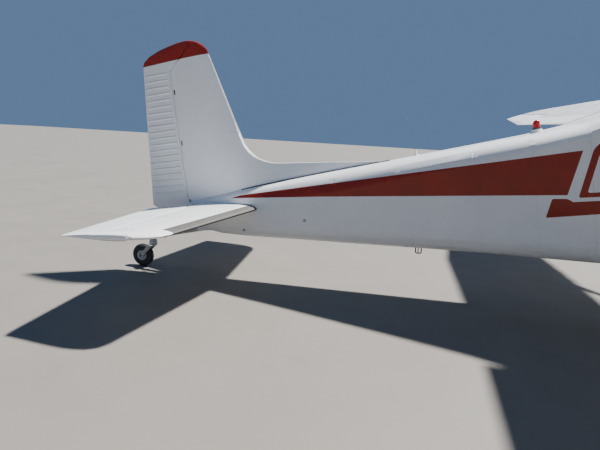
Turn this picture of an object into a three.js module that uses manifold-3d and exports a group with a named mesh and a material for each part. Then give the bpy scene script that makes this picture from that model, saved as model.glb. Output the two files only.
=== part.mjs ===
// A high-wing, single-engine light aircraft that stands on two main wheels and a tailwheel.
// Millimetres, +Z up. The model is drawn level, about its thrust line, and then set down nose-up.
// A place is given by its station (distance aft of the firewall), its y (left is positive)
// and its waterline (height above the thrust line).
import * as THREE from 'three'
import { mergeVertices } from 'three/addons/utils/BufferGeometryUtils.js'
import Module from 'manifold-3d'

const wasm = await Module()
wasm.setup()

const DEGREE = Math.PI / 180

// Driving dimensions
const PARKED_PITCH = 11.5 * DEGREE
const SEAT = 0.3
const PIVOT_GAP = 0.5
const RUN_GAP = 6
const WALL = 28
const GLASS = 8
const ARC_STEPS = 4

const CABIN_FRONT = 0
const CABIN_REAR = 2190
const PANEL_THICK = 20
const CABIN_HALF = 535
const FLOOR = -335
const TAIL_END = 5752

const COWL_FRONT = -1078
const COWL_WALL = 20
const PROP_STATION = -1150
const PROP_RADIUS = 1040
const PROP_REST = 74 * DEGREE
const SPINNER_TIP = -1430
const SPINNER_BACK = -1096
const SPINNER_RADIUS = 172

const WING_ROOT_Y = 510
const WING_BREAK_Y = 2540
const WING_TIP_Y = 5460
const WING_LEADING = 440
const WING_CHORD = 1630
const WING_TIP_CHORD = 1090
const WING_TRAILING_WL = 800
const DIHEDRAL = 2.1 * DEGREE
const INCIDENCE = 2 * DEGREE
const WASHOUT = 3.1 * DEGREE
const SPAR_SHARE = 0.25
const FLAP_SHARE = 0.745
const FLAP_LIP_SHARE = 0.83
const FLAP_Y = [578, 2522]
const AILERON_Y = [2536, 5185]

const DOOR_FRONT = 735
const DOOR_REAR = 1600
const DOOR_FOOT = -330
const DOOR_HEAD = 690

const TAIL_PLANE_SLOPE = 0.122
const ELEVATOR_AXIS = 5650
const ELEVATOR_AXIS_WL = 483
const HORN_Y = 1462

const TAIL_CONTACT = 6477
const TAIL_CONTACT_WL = -94
const TAIL_TYRE_RADIUS = 125
const MAIN_AXLE = 447
const MAIN_TYRE_RADIUS = 222.5
const MAIN_TRACK_HALF = 1165

// Basic solids

function solidOf(geometry) {
  const bare = geometry.clone()
  bare.deleteAttribute('normal')
  bare.deleteAttribute('uv')
  const merged = mergeVertices(bare, 1e-3)
  const vertProperties = new Float32Array(merged.attributes.position.array)
  const triVerts = new Uint32Array(merged.index.array)
  return new wasm.Manifold(new wasm.Mesh({ numProp: 3, vertProperties, triVerts }))
}

function geometryOf(solid) {
  const mesh = solid.getMesh()
  const geometry = new THREE.BufferGeometry()
  geometry.setAttribute('position', new THREE.BufferAttribute(new Float32Array(mesh.vertProperties), 3))
  geometry.setIndex(new THREE.BufferAttribute(new Uint32Array(mesh.triVerts), 1))
  return geometry
}

function joined(solids) {
  return solids.reduce((whole, piece) => whole.add(piece))
}

function moved(solid, matrix) {
  const geometry = geometryOf(solid).applyMatrix4(matrix)
  if (matrix.determinant() < 0) {
    const index = geometry.index.array
    for (let i = 0; i < index.length; i += 3) {
      const first = index[i]
      index[i] = index[i + 1]
      index[i + 1] = first
    }
  }
  return solidOf(geometry)
}

function mirrored(solid) {
  return moved(solid, new THREE.Matrix4().makeScale(1, -1, 1))
}

function at(station, y, waterline) {
  return new THREE.Vector3(-station, y, waterline)
}

// A closed skin over a row of rings, each with the same number of points. The diagonals of its
// two sides mirror each other, so a piece cut by the left side fits the right one when mirrored.
function loft(rings) {
  const count = rings[0].length
  const points = []
  const triangles = []
  for (const ring of rings) {
    points.push(...ring)
  }
  for (let r = 0; r + 1 < rings.length; r += 1) {
    for (let i = 0; i < count; i += 1) {
      const a = r * count + i
      const b = r * count + (i + 1) % count
      const onLeft = points[a].y + points[b].y + points[a + count].y + points[b + count].y > 0
      if (onLeft) {
        triangles.push([a, b, b + count], [a, b + count, a + count])
      } else {
        triangles.push([a, b, a + count], [b, b + count, a + count])
      }
    }
  }
  for (const [ring, start, turn] of [[rings[0], 0, -1], [rings.at(-1), (rings.length - 1) * count, 1]]) {
    const centre = ring.reduce((sum, p) => sum.add(p), new THREE.Vector3()).divideScalar(count)
    points.push(centre)
    for (let i = 0; i < count; i += 1) {
      const pair = [start + i, start + (i + 1) % count]
      triangles.push(turn > 0 ? [pair[0], pair[1], points.length - 1] : [pair[1], pair[0], points.length - 1])
    }
  }
  let volume = 0
  for (const [a, b, c] of triangles) {
    volume += points[a].dot(new THREE.Vector3().crossVectors(points[b], points[c]))
  }
  const facing = volume > 0 ? triangles : triangles.map(([a, b, c]) => [b, a, c])
  const geometry = new THREE.BufferGeometry().setFromPoints(points)
  geometry.setIndex(facing.flat())
  return solidOf(geometry)
}

// A flat outline pushed along the third direction; u, v and w are that outline's directions.
function pushed(outline, depth, u, v, w, origin) {
  const shape = new THREE.Shape(outline.map(([a, b]) => new THREE.Vector2(a, b)))
  const geometry = new THREE.ExtrudeGeometry(shape, { depth, bevelEnabled: false, steps: 1 })
  const matrix = new THREE.Matrix4().makeBasis(u, v, w).setPosition(origin)
  return moved(solidOf(geometry), matrix)
}

const AFT = new THREE.Vector3(-1, 0, 0)
const LEFT = new THREE.Vector3(0, 1, 0)
const UP = new THREE.Vector3(0, 0, 1)

// Outline of [station, waterline], from one y to another
function sidePrism(outline, fromY, toY) {
  return pushed(outline, toY - fromY, AFT, UP, LEFT, new THREE.Vector3(0, fromY, 0))
}

// Outline of [station, y], from one waterline to another
function planPrism(outline, fromWl, toWl) {
  return pushed(outline, toWl - fromWl, AFT, LEFT, UP, new THREE.Vector3(0, 0, fromWl))
}

// Outline of [y, waterline], from one station to another
function frontPrism(outline, fromStation, toStation) {
  return pushed(outline, toStation - fromStation, LEFT, UP, AFT, new THREE.Vector3(-fromStation, 0, 0))
}

function block(stations, ys, waterlines) {
  const [s0, s1] = stations
  const outline = [[s0, waterlines[0]], [s1, waterlines[0]], [s1, waterlines[1]], [s0, waterlines[1]]]
  return sidePrism(outline, ys[0], ys[1])
}

function rod(start, end, startRadius, endRadius = startRadius, sides = 16) {
  const direction = new THREE.Vector3().subVectors(end, start)
  const geometry = new THREE.CylinderGeometry(endRadius, startRadius, direction.length(), sides)
  const turn = new THREE.Quaternion().setFromUnitVectors(LEFT, direction.clone().normalize())
  const middle = new THREE.Vector3().addVectors(start, end).multiplyScalar(0.5)
  return moved(solidOf(geometry), new THREE.Matrix4().compose(middle, turn, new THREE.Vector3(1, 1, 1)))
}

// Profile of [radius, distance along the axis], spun about that axis
function spun(profile, origin, axis, sides) {
  const geometry = new THREE.LatheGeometry(profile.map(([r, d]) => new THREE.Vector2(r, d)), sides)
  const turn = new THREE.Quaternion().setFromUnitVectors(LEFT, axis.clone().normalize())
  return moved(solidOf(geometry), new THREE.Matrix4().compose(origin, turn, new THREE.Vector3(1, 1, 1)))
}

// An outline with its corners rounded
function softened(outline, radius) {
  const points = []
  outline.forEach((corner, i) => {
    const here = new THREE.Vector2(...corner)
    const before = new THREE.Vector2(...outline.at(i - 1)).sub(here).setLength(radius).add(here)
    const after = new THREE.Vector2(...outline[(i + 1) % outline.length]).sub(here).setLength(radius).add(here)
    const curve = new THREE.QuadraticBezierCurve(before, here, after)
    points.push(...curve.getPoints(3).map((p) => [p.x, p.y]))
  })
  return points
}

// The same outline drawn in by a margin on every side; the outline turns one way all round.
function drawnIn(outline, margin) {
  const area = outline.reduce((sum, [x, y], i) => {
    const [nextX, nextY] = outline[(i + 1) % outline.length]
    return sum + x * nextY - nextX * y
  }, 0)
  const inward = Math.sign(area) * margin
  return outline.map((corner, i) => {
    const here = new THREE.Vector2(...corner)
    const along = new THREE.Vector2(...outline[(i + 1) % outline.length]).sub(here).normalize()
    const back = here.clone().sub(new THREE.Vector2(...outline.at(i - 1))).normalize()
    const normals = [new THREE.Vector2(-back.y, back.x), new THREE.Vector2(-along.y, along.x)]
    const bisector = normals[0].clone().add(normals[1]).normalize()
    const reach = inward / bisector.dot(normals[0])
    return [here.x + bisector.x * reach, here.y + bisector.y * reach]
  })
}

// Fuselage

// Columns: station, half width, top, bottom, shoulder across, shoulder down, bilge across, bilge up
const COWL_SECTIONS = [
  [COWL_FRONT, 330, 188, -262, 220, 170, 200, 170],
  [-1045, 385, 232, -312, 240, 190, 210, 180],
  [-960, 425, 264, -352, 250, 195, 210, 170],
  [-500, 462, 320, -415, 260, 195, 180, 160],
  [CABIN_FRONT, 478, 352, -440, 265, 190, 150, 150],
]
const CABIN_SECTIONS = [
  [CABIN_FRONT, 478, 352, -440, 265, 190, 150, 150],
  [150, 497, 384, -462, 270, 190, 140, 150],
  [440, 526, 862, -478, 120, 100, 130, 150],
  [545, 533, 935, -480, 70, 60, 130, 150],
  [760, CABIN_HALF, 973, -480, 40, 30, 130, 150],
  [1000, CABIN_HALF, 975, -476, 30, 24, 130, 150],
  [1300, CABIN_HALF, 950, -428, 30, 24, 130, 150],
  [1700, CABIN_HALF, 889, -365, 50, 40, 130, 150],
  [CABIN_REAR, 485, 791, -287, 180, 110, 150, 150],
]
const TAIL_SECTIONS = [
  [CABIN_REAR + SEAT, 485, 791, -287, 180, 110, 150, 150],
  [2500, 449, 760, -237, 185, 125, 152, 152],
  [3000, 391, 731, -158, 200, 150, 160, 160],
  [4200, 252, 664, 20, 180, 190, 150, 170],
  [5060, 152, 616, 160, 130, 160, 110, 140],
  [TAIL_END, 72, 553, 281, 66, 110, 62, 90],
]

function bodyRing(section, inset, lowest = -Infinity) {
  const [station, half, top, bottom, shoulderY, shoulderZ, bilgeY, bilgeZ] = section
  const high = top - inset
  const wide = half - inset
  const low = Math.max(bottom + inset, lowest)
  const bilgeUp = Math.max(15, bottom + bilgeZ - low)
  const bilgeIn = low > bottom + inset ? Math.max(15, bilgeY * (1 - Math.sqrt(1 - (bilgeUp / bilgeZ) ** 2))) : bilgeY
  const bilgeRise = low > bottom + inset ? bilgeUp : bilgeZ
  const corners = [
    [wide - shoulderY, high - shoulderZ, shoulderY, shoulderZ, 0],
    [-wide + shoulderY, high - shoulderZ, shoulderY, shoulderZ, 1],
    [-wide + bilgeIn, low + bilgeRise, bilgeIn, bilgeRise, 2],
    [wide - bilgeIn, low + bilgeRise, bilgeIn, bilgeRise, 3],
  ]
  const ring = []
  for (const [y, z, reachY, reachZ, quarter] of corners) {
    for (let step = 0; step <= ARC_STEPS; step += 1) {
      const angle = (quarter + step / ARC_STEPS) * Math.PI / 2
      ring.push(at(station, y + reachY * Math.cos(angle), z + reachZ * Math.sin(angle)))
    }
  }
  return ring
}

function bodyLoft(sections, inset, lowest) {
  return loft(sections.map((section) => bodyRing(section, inset, lowest)))
}

// The body swollen by the seating gap, to cut what stands on it
function clearOf(sections) {
  const grown = sections.map((section) => [...section])
  grown[0][0] -= SEAT
  grown.at(-1)[0] += SEAT
  return bodyLoft(grown, -SEAT)
}

const cabinSkin = bodyLoft(CABIN_SECTIONS, 0)
const cabinClear = clearOf(CABIN_SECTIONS)
const cabinRoom = bodyLoft(CABIN_SECTIONS, WALL, FLOOR)
const cabinPanels = cabinSkin.subtract(cabinRoom)
const tailSkin = bodyLoft(TAIL_SECTIONS, 0)
const tailClear = clearOf(TAIL_SECTIONS)

const WIDE = 700
const windshieldSide = [[40, 404], [640, 352], [668, 725], [505, 770], [418, 838], [418, 1000], [40, 1000]]
const doorSide = [[DOOR_FRONT, DOOR_FOOT], [DOOR_REAR - 90, DOOR_FOOT], [DOOR_REAR, DOOR_FOOT + 200],
  [DOOR_REAR, DOOR_HEAD], [DOOR_FRONT, DOOR_HEAD]]
const doorWindow = [[DOOR_FRONT + 62, 335], [DOOR_REAR - 60, 335], [DOOR_REAR - 60, 640],
  [DOOR_FRONT + 62, 640]]
const rearWindow = [[1672, 340], [2112, 360], [2030, 640], [1672, 640]]
const baggageSide = [[1735, -180], [2105, -150], [2105, 190], [1735, 190]]

const bulkheads = joined([
  cabinSkin.intersect(block([CABIN_FRONT, CABIN_FRONT + PANEL_THICK], [-WIDE, WIDE], [-600, 600])),
  cabinSkin.intersect(block([CABIN_REAR - PANEL_THICK, CABIN_REAR], [-WIDE, WIDE], [-600, 1000])),
])

const HINGE_RADIUS = 9
const HINGE_OUT = 11
const doorHinge = at(DOOR_FRONT, CABIN_HALF + HINGE_OUT, 0)
const baggageHinge = at(1735, CABIN_HALF + HINGE_OUT - 2, 0)
const DOOR_HINGES = [-150, 240]
const BAGGAGE_HINGES = [-100, 110]

// Two barrels on one upright pin line: the lower one stays, the upper one swings.
function barrel(hinge, waterline, swings) {
  const low = waterline + (swings ? PIVOT_GAP : -40)
  const high = waterline + (swings ? 40 : 0)
  const lift = (wl) => new THREE.Vector3(hinge.x, hinge.y, wl)
  const [edge, side] = swings ? [RUN_GAP + 2, 1] : [0, -1]
  const plan = [[0, -1], [34, -1], [34, -24], [edge, -24], [edge, -9], [0, -9]]
  const leaf = planPrism(plan.map(([aft, out]) => [-hinge.x + side * aft, hinge.y + out]), low, high)
  return rod(lift(low), lift(high), HINGE_RADIUS, HINGE_RADIUS, 12).add(leaf)
}

function cabinShell() {
  const sideCut = joined([
    sidePrism(softened(doorSide, 60), 300, WIDE),
    sidePrism(softened(rearWindow, 60), 300, WIDE),
  ])
  const cuts = joined([
    sidePrism(windshieldSide, -WIDE, WIDE),
    sideCut,
    mirrored(sideCut),
    sidePrism(softened(baggageSide, 40), 300, WIDE),
  ])
  const fixedBarrels = DOOR_HINGES.map((wl) => barrel(doorHinge, wl, false))
  const baggageBarrels = BAGGAGE_HINGES.map((wl) => barrel(baggageHinge, wl, false))
  const shell = cabinPanels.add(bulkheads).subtract(cuts)
  return joined([shell, ...fixedBarrels, ...fixedBarrels.map(mirrored), ...baggageBarrels])
}

function glassIn(outline, corner, fromY, toY) {
  const sheet = bodyLoft(CABIN_SECTIONS, GLASS).subtract(bodyLoft(CABIN_SECTIONS, 2 * GLASS))
  const inner = drawnIn(outline, SEAT + 0.2)
  return sheet.intersect(sidePrism(corner > 0 ? softened(inner, corner) : inner, fromY, toY))
}

function doorPanel(outline, corner, hinge, heights) {
  const gap = drawnIn(outline, RUN_GAP)
  const panel = cabinPanels.intersect(sidePrism(softened(gap, corner), 300, WIDE))
  return joined([panel, ...heights.map((wl) => barrel(hinge, wl, true))])
}

// Wing

// Thickness and camber of a foil with 2 % camber at 40 % chord
function foilRing(place, chord, thickness, camber, twist, steps = 9) {
  const ring = []
  const edge = 0.0018
  for (let side = 1; side >= -1; side -= 2) {
    for (let i = 0; i <= steps; i += 1) {
      const share = side > 0 ? 1 - i / steps : i / steps
      const x = 1 - Math.cos(share * Math.PI / 2)
      const root = 0.2969 * Math.sqrt(x) - 0.126 * x - 0.3516 * x ** 2 + 0.2843 * x ** 3 - 0.1036 * x ** 4
      const mean = x < 0.4 ? camber / 0.16 * (0.8 * x - x * x) : camber / 0.36 * (0.2 + 0.8 * x - x * x)
      const z = mean + side * (5 * thickness * root + edge * x)
      if (side < 0 && i === 0) {
        continue
      }
      ring.push(place(x * chord, z * chord, twist))
    }
  }
  return ring
}

function wingPlace(leading, y, trailingWl) {
  return (chordwise, height, twist) => {
    const back = chordwise * Math.cos(twist) + height * Math.sin(twist)
    const rise = height * Math.cos(twist) - chordwise * Math.sin(twist)
    return at(leading + back, y, trailingWl + rise)
  }
}

function wingShare(y) {
  return Math.max(0, (y - WING_BREAK_Y) / (WING_TIP_Y - WING_BREAK_Y))
}

function wingChord(y) {
  return WING_CHORD + (WING_TIP_CHORD - WING_CHORD) * wingShare(y)
}

function wingLeading(y) {
  return WING_LEADING + SPAR_SHARE * (WING_CHORD - wingChord(y))
}

function wingLeadingWl(y) {
  const root = WING_TRAILING_WL + WING_CHORD * Math.sin(INCIDENCE)
  return root + (y - CABIN_HALF) * Math.tan(DIHEDRAL) - 12 * wingShare(y)
}

function wingTwist(y) {
  return INCIDENCE - WASHOUT * wingShare(y)
}

// Columns: y, share of chord cut from the front, share of chord left, thickness, droop
const WING_STATIONS = [
  [WING_ROOT_Y, 0, 1, 0.12, 0],
  [WING_BREAK_Y, 0, 1, 0.12, 0],
  [5230, 0, 1, 0.12, 0],
  [5340, 0.02, 0.965, 0.1, 14],
  [5425, 0.075, 0.865, 0.07, 32],
  [WING_TIP_Y, 0.16, 0.7, 0.03, 50],
]

function wingLoft(drop) {
  return loft(WING_STATIONS.map(([y, front, left, thickness, droop]) => {
    const full = wingChord(y)
    const place = wingPlace(wingLeading(y) + front * full, y, wingLeadingWl(y) - droop - drop)
    return foilRing(place, full * left, thickness, 0.02, wingTwist(y))
  }))
}

const wingWhole = wingLoft(0)

function wingPoint(y, share, lift) {
  const chord = wingChord(y) * share
  return at(wingLeading(y) + chord, y, wingLeadingWl(y) - chord * Math.sin(wingTwist(y)) + lift)
}

const AILERON_SHARE = 0.76
const aileronAxis = AILERON_Y.map((y) => wingPoint(y, AILERON_SHARE, 0.0145 * wingChord(y)))
const aileronNose = AILERON_Y.map((y) => 0.0262 * wingChord(y))
const flapFront = wingLeading(WING_ROOT_Y) + FLAP_SHARE * WING_CHORD
const flapLip = wingLeading(WING_ROOT_Y) + FLAP_LIP_SHARE * WING_CHORD
const FLAP_GAP = 9
const FLAP_PIVOT_DROP = 118
const FLAP_BRACKETS = [900, 2200]
const ARM_HALF = 5
const TALL = [300, 1300]

function pivotLine(ends, y) {
  const share = (y - ends[0].y) / (ends[1].y - ends[0].y)
  return ends[0].clone().lerp(ends[1], share)
}

function stretched(ends, radii, extra) {
  const length = ends[1].y - ends[0].y
  const grow = (radii[1] - radii[0]) / length
  const start = pivotLine(ends, ends[0].y - extra)
  const end = pivotLine(ends, ends[1].y + extra)
  return rod(start, end, radii[0] - grow * extra, radii[1] + grow * extra, 24)
}

function aftOf(ends, offset, extra) {
  const [start, end] = [pivotLine(ends, ends[0].y - extra), pivotLine(ends, ends[1].y + extra)]
  const outline = [[-start.x + offset, start.y], [-end.x + offset, end.y], [2600, end.y], [2600, start.y]]
  return planPrism(outline, ...TALL)
}

function saddle(ends, radii, y, half, reach) {
  const centre = pivotLine(ends, y)
  const share = (y - ends[0].y) / (ends[1].y - ends[0].y)
  const radius = radii[0] + (radii[1] - radii[0]) * share
  const blockStations = [-centre.x - radius - reach, -centre.x - radius * 0.6]
  const piece = block(blockStations, [y - half, y + half], [centre.z - radius * 0.4, centre.z + radius * 0.4])
  return piece.subtract(stretched(ends, radii.map((r) => r + PIVOT_GAP), 0))
}

function flapPivot(y) {
  return at(flapFront - 4, y, wingLeadingWl(y) - FLAP_PIVOT_DROP)
}

// Everything aft of the flap's sloping front face, which leans back from the lower skin to the lip
function flapRoom(gap) {
  const [lowSkin, highSkin] = [-75, 15]
  const slope = (flapLip - flapFront) / (highSkin - lowSkin)
  const ends = [FLAP_Y[0] - Math.min(gap, RUN_GAP), FLAP_Y[1] + Math.min(gap, RUN_GAP)]
  return loft(ends.map((y) => {
    const level = wingLeadingWl(y)
    const face = (lift) => at(flapFront - gap + (lift - lowSkin) * slope, y, level + lift)
    return [face(-250), face(220), at(2700, y, level + 220), at(2700, y, level - 250)]
  }))
}

function wingPanel() {
  const aileronBay = aftOf(aileronAxis, -12, RUN_GAP)
  const cove = stretched(aileronAxis, aileronNose.map((r) => r + RUN_GAP), RUN_GAP)
  const flapBay = flapRoom(FLAP_GAP)
  const saddles = [2700, 3900, 5050].map((y) => saddle(aileronAxis, aileronNose, y, 14, 16))
  const arms = FLAP_BRACKETS.map((y) => {
    const pivot = flapPivot(y)
    const s = -pivot.x
    const outline = [[s - 150, pivot.z + 90], [s - 12, pivot.z - 12], [s + 10, pivot.z - 12],
      [s + 10, pivot.z + 12], [s - 20, pivot.z + 92]]
    const arm = sidePrism(outline, y - ARM_HALF, y + ARM_HALF)
    return arm.subtract(rod(flapPivot(y - 20), flapPivot(y + 20), 6 + PIVOT_GAP))
  })
  const body = wingWhole.subtract(joined([aileronBay, cove, flapBay]))
  return joined([body, ...saddles, ...arms]).subtract(cabinClear)
}

function aileron() {
  const ends = aileronAxis
  const body = wingWhole.intersect(aftOf(ends, 11, 0))
  const nose = stretched(ends, aileronNose, 0)
  return body.add(nose).subtract(planPrism([[0, 0], [3000, 0], [3000, AILERON_Y[0]], [0, AILERON_Y[0]]], ...TALL))
}

function flap() {
  const body = wingWhole.intersect(flapRoom(0))
  const arms = FLAP_BRACKETS.map((y) => {
    const pivot = flapPivot(y)
    const s = -pivot.x
    const plate = [[s - 12, pivot.z - 12], [s + 12, pivot.z - 12], [s + 110, pivot.z + 66],
      [s + 60, pivot.z + 64], [s + 14, pivot.z + 48], [s - 12, pivot.z + 12]]
    const arm = sidePrism(plate, y + ARM_HALF + PIVOT_GAP, y + 3 * ARM_HALF)
    return arm.add(rod(flapPivot(y - 12), flapPivot(y + 12), 6))
  })
  return joined([body, ...arms])
}

// Lift strut, a streamlined tube from the foot of the door post to the wing's front spar
const STRUT_FOOT = at(640, 470, -395)
const STRUT_HEAD = at(875, 2690, 958)

function strut() {
  const rings = [STRUT_FOOT, STRUT_HEAD].map((centre) => {
    const along = STRUT_HEAD.clone().sub(STRUT_FOOT).normalize()
    const thick = new THREE.Vector3().crossVectors(along, AFT).normalize()
    return foilRing((back, height) => centre.clone().addScaledVector(AFT, back - 55)
      .addScaledVector(thick, height), 125, 0.34, 0, 0, 6)
  })
  return loft(rings).subtract(cabinClear).subtract(wingLoft(SEAT))
}

// Tail

// Columns: waterline, leading edge, trailing edge, thickness as a share of chord
const FIN_SECTIONS = [
  [296, 5350, 5850, 0.08],
  [400, 5200, 6010, 0.085],
  [560, 4935, 6207, 0.07],
  [1284, 5133, 6118, 0.075],
  [1861, 5277, 6046, 0.08],
  [1961, 5303, 6031, 0.08],
  [1995, 5312, 6018, 0.08],
  [2041, 5345, 5950, 0.085],
  [2080, 5397, 5830, 0.09],
  [2104, 5446, 5702, 0.1],
  [2116, 5500, 5620, 0.1],
]
const rudderAxis = [at(5775, 0, 296), at(5732, 0, 1861)]
const rudderNose = [24, 19]
const HORN_TOP = [5447, 2094]

function finPlace(leading, waterline) {
  return (back, side) => at(leading + back, side, waterline)
}

const finWhole = loft(FIN_SECTIONS.map(([wl, front, rear, thickness]) => {
  return foilRing(finPlace(front, wl), rear - front, thickness, 0, 0, 8)
}))

// Columns: station, height of the crest, half width at the foot, half width near the crest
const DORSAL_SECTIONS = [
  [3687, 690, 12, 3],
  [4300, 762, 30, 9],
  [4757, 813, 42, 12],
  [4823, 826, 44, 14],
  [4890, 852, 45, 17],
  [4954, 889, 47, 20],
  [5007, 942, 48, 22],
  [5044, 988, 49, 24],
  [5078, 1051, 50, 26],
  [5111, 1170, 52, 28],
  [5190, 1210, 52, 28],
]

const dorsal = loft(DORSAL_SECTIONS.map(([station, crest, foot, tip]) => [
  at(station, -foot, 560), at(station, -foot, 600), at(station, -tip, crest - tip),
  at(station, -tip * 0.5, crest - tip * 0.15), at(station, 0, crest), at(station, tip * 0.5, crest - tip * 0.15),
  at(station, tip, crest - tip), at(station, foot, 600), at(station, foot, 560),
]))

function rudderLine(waterline, offset) {
  const share = (waterline - rudderAxis[0].z) / (rudderAxis[1].z - rudderAxis[0].z)
  return [-(rudderAxis[0].x + (rudderAxis[1].x - rudderAxis[0].x) * share) + offset, waterline]
}

function finSide(lip, gap) {
  const corner = rudderLine(1861, lip)
  return [[3000, 200], rudderLine(200, lip), [corner[0], corner[1] - gap], [HORN_TOP[0], HORN_TOP[1] - gap],
    [HORN_TOP[0] - 180, HORN_TOP[1] + 150 - gap], [3000, 2400]]
}

function rudderSide(start, gap) {
  return [rudderLine(200, start), [6400, 200], [6400, 2400], [HORN_TOP[0] - 180, 2400],
    [HORN_TOP[0] - 180, HORN_TOP[1] + 150 + gap], [HORN_TOP[0], HORN_TOP[1] + gap],
    [rudderLine(1861, 0)[0], 1861 + gap], rudderLine(1861 + gap, start)]
}

function rudderRod(grow, low, high) {
  const direction = rudderAxis[1].clone().sub(rudderAxis[0])
  const span = direction.z
  const point = (wl) => rudderAxis[0].clone().addScaledVector(direction, (wl - rudderAxis[0].z) / span)
  const radius = (wl) => rudderNose[0] + (rudderNose[1] - rudderNose[0]) * (wl - rudderAxis[0].z) / span
  return rod(point(low), point(high), radius(low) + grow, radius(high) + grow, 24)
}

const RUDDER_HINGES = [720, 1146, 1652]

function fin() {
  const cove = rudderRod(RUN_GAP, 250, 1861)
  const upper = finWhole.intersect(sidePrism(finSide(-10, 5), -200, 200))
  const brackets = RUDDER_HINGES.map((wl) => {
    const [station] = rudderLine(wl, 0)
    return block([station - 50, station - 12], [-9, 9], [wl - 16, wl + 16])
  })
  const carried = upper.add(dorsal.intersect(sidePrism(finSide(-60, 5), -200, 200))).subtract(cove)
  const hinged = joined(brackets).subtract(rudderRod(PIVOT_GAP, 250, 1861))
  return carried.add(hinged).subtract(tailClear)
}

function rudder() {
  const body = finWhole.intersect(sidePrism(rudderSide(9, 5), -200, 200))
  return body.add(rudderRod(0, 298, 1855))
}

// Columns: y, leading edge, trailing edge, thickness as a share of chord
const TAILPLANE_SECTIONS = [
  [40, 4978, 6122, 0.078],
  [1485, 5168, 5966, 0.08],
  [1560, 5200, 5957, 0.075],
  [1612, 5268, 5948, 0.065],
  [1640, 5362, 5932, 0.05],
]

function tailplanePlace(leading, y) {
  const angle = Math.atan(TAIL_PLANE_SLOPE)
  return (back, height) => {
    const station = leading + back
    const waterline = ELEVATOR_AXIS_WL + (station - ELEVATOR_AXIS) * TAIL_PLANE_SLOPE
    return at(station - height * Math.sin(angle), y, waterline + height * Math.cos(angle))
  }
}

const tailplane = loft(TAILPLANE_SECTIONS.map(([y, front, rear, thickness]) => {
  return foilRing(tailplanePlace(front, y), rear - front, thickness, 0, 0, 8)
}))

const ELEVATOR_INBOARD = 128
const elevatorAxis = [at(ELEVATOR_AXIS, ELEVATOR_INBOARD, ELEVATOR_AXIS_WL), at(ELEVATOR_AXIS, HORN_Y, ELEVATOR_AXIS_WL)]
const elevatorNose = [31, 24]
const TORQUE_TUBE = 19
const HORN_FRONT = [5372, 1662]
const LOW_TAIL = [200, 700]

function stabilizer() {
  const lip = ELEVATOR_AXIS - 12
  const outline = [[4800, 0], [lip, 0], [lip, HORN_Y - 5], HORN_FRONT.map((v) => v - 5), [4800, HORN_FRONT[1] - 5]]
  const cove = stretched(elevatorAxis, elevatorNose.map((r) => r + RUN_GAP), 60)
  const saddles = [260, 800, 1370].map((y) => saddle(elevatorAxis, elevatorNose, y, 14, 16))
  const body = tailplane.intersect(planPrism(outline, ...LOW_TAIL)).subtract(cove)
  return joined([body, ...saddles]).subtract(tailClear)
}

// The horn's balance weight, thicker than the tip ahead of it
const hornWeight = loft([[1480, 0.105], [1622, 0.105], [1641, 0.07]].map(([y, thickness]) => {
  return foilRing(tailplanePlace(5336, y), 600, thickness, 0, 0, 8)
}))

function elevatorHalf() {
  const start = ELEVATOR_AXIS + 11
  const outline = [[start, ELEVATOR_INBOARD], [5705, ELEVATOR_INBOARD], [6150, 262], [6150, 1700],
    [HORN_FRONT[0] - 80, 1700], [HORN_FRONT[0] + 3, HORN_FRONT[1] + 3], [ELEVATOR_AXIS - 9, HORN_Y + 4],
    [start, HORN_Y + 4]]
  const body = tailplane.add(hornWeight).intersect(planPrism(outline, ...LOW_TAIL))
  return body.add(stretched(elevatorAxis, elevatorNose, 0))
}

function elevators() {
  const half = elevatorHalf()
  const tube = rod(at(ELEVATOR_AXIS, -ELEVATOR_INBOARD - 5, ELEVATOR_AXIS_WL),
    at(ELEVATOR_AXIS, ELEVATOR_INBOARD + 5, ELEVATOR_AXIS_WL), TORQUE_TUBE)
  return joined([half, mirrored(half), tube])
}

function tailCone() {
  const tubeHole = rod(at(ELEVATOR_AXIS, -300, ELEVATOR_AXIS_WL), at(ELEVATOR_AXIS, 300, ELEVATOR_AXIS_WL),
    TORQUE_TUBE + RUN_GAP)
  return tailSkin.subtract(tubeHole).subtract(rudderRod(RUN_GAP, 200, 1861))
}

// Cowling, engine and propeller

function cowling() {
  const rear = COWL_SECTIONS.map((s) => [...s])
  rear.at(-1)[0] = CABIN_FRONT - SEAT
  const outer = bodyLoft(rear, 0)
  const hollow = rear.map((s) => [...s])
  hollow[0][0] = COWL_FRONT + COWL_WALL
  hollow.at(-1)[0] = CABIN_FRONT + 5
  const intake = frontPrism(softened([[178, -95], [300, -75], [300, 95], [178, 110]], 30), -1200, -1000)
  const cuts = joined([
    intake,
    mirrored(intake),
    frontPrism(softened([[-85, -232], [85, -232], [85, -186], [-85, -186]], 18), -1200, -1000),
    rod(at(-1300, 0, 0), at(-900, 0, 0), 82, 82, 24),
    block([-190, 40], [-210, 210], [-600, -380]),
    rod(at(-420, -250, -300), at(-330, -250, -600), 44, 44, 12),
  ])
  return outer.subtract(bodyLoft(hollow, COWL_WALL)).subtract(cuts)
}

function engine() {
  const crankcase = frontPrism([[-330, -150], [-250, -235], [250, -235], [330, -150], [330, 60], [240, 130],
    [-240, 130], [-330, 60]], -900, -230)
  const mounts = [[-260, -180], [260, -180], [-260, 90], [260, 90]].map(([y, wl]) => {
    return rod(at(-260, y * 0.85, wl * 0.85), at(CABIN_FRONT - SEAT, y * 0.85, wl * 0.85), 14, 14, 10)
  })
  const shaft = rod(at(-920, 0, 0), at(SHAFT_END, 0, 0), 62, 62, 24)
  const snout = rod(at(-880, 0, 0), at(-990, 0, 0), 140, 90, 24)
  return joined([crankcase, ...mounts, shaft, snout])
}

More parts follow.
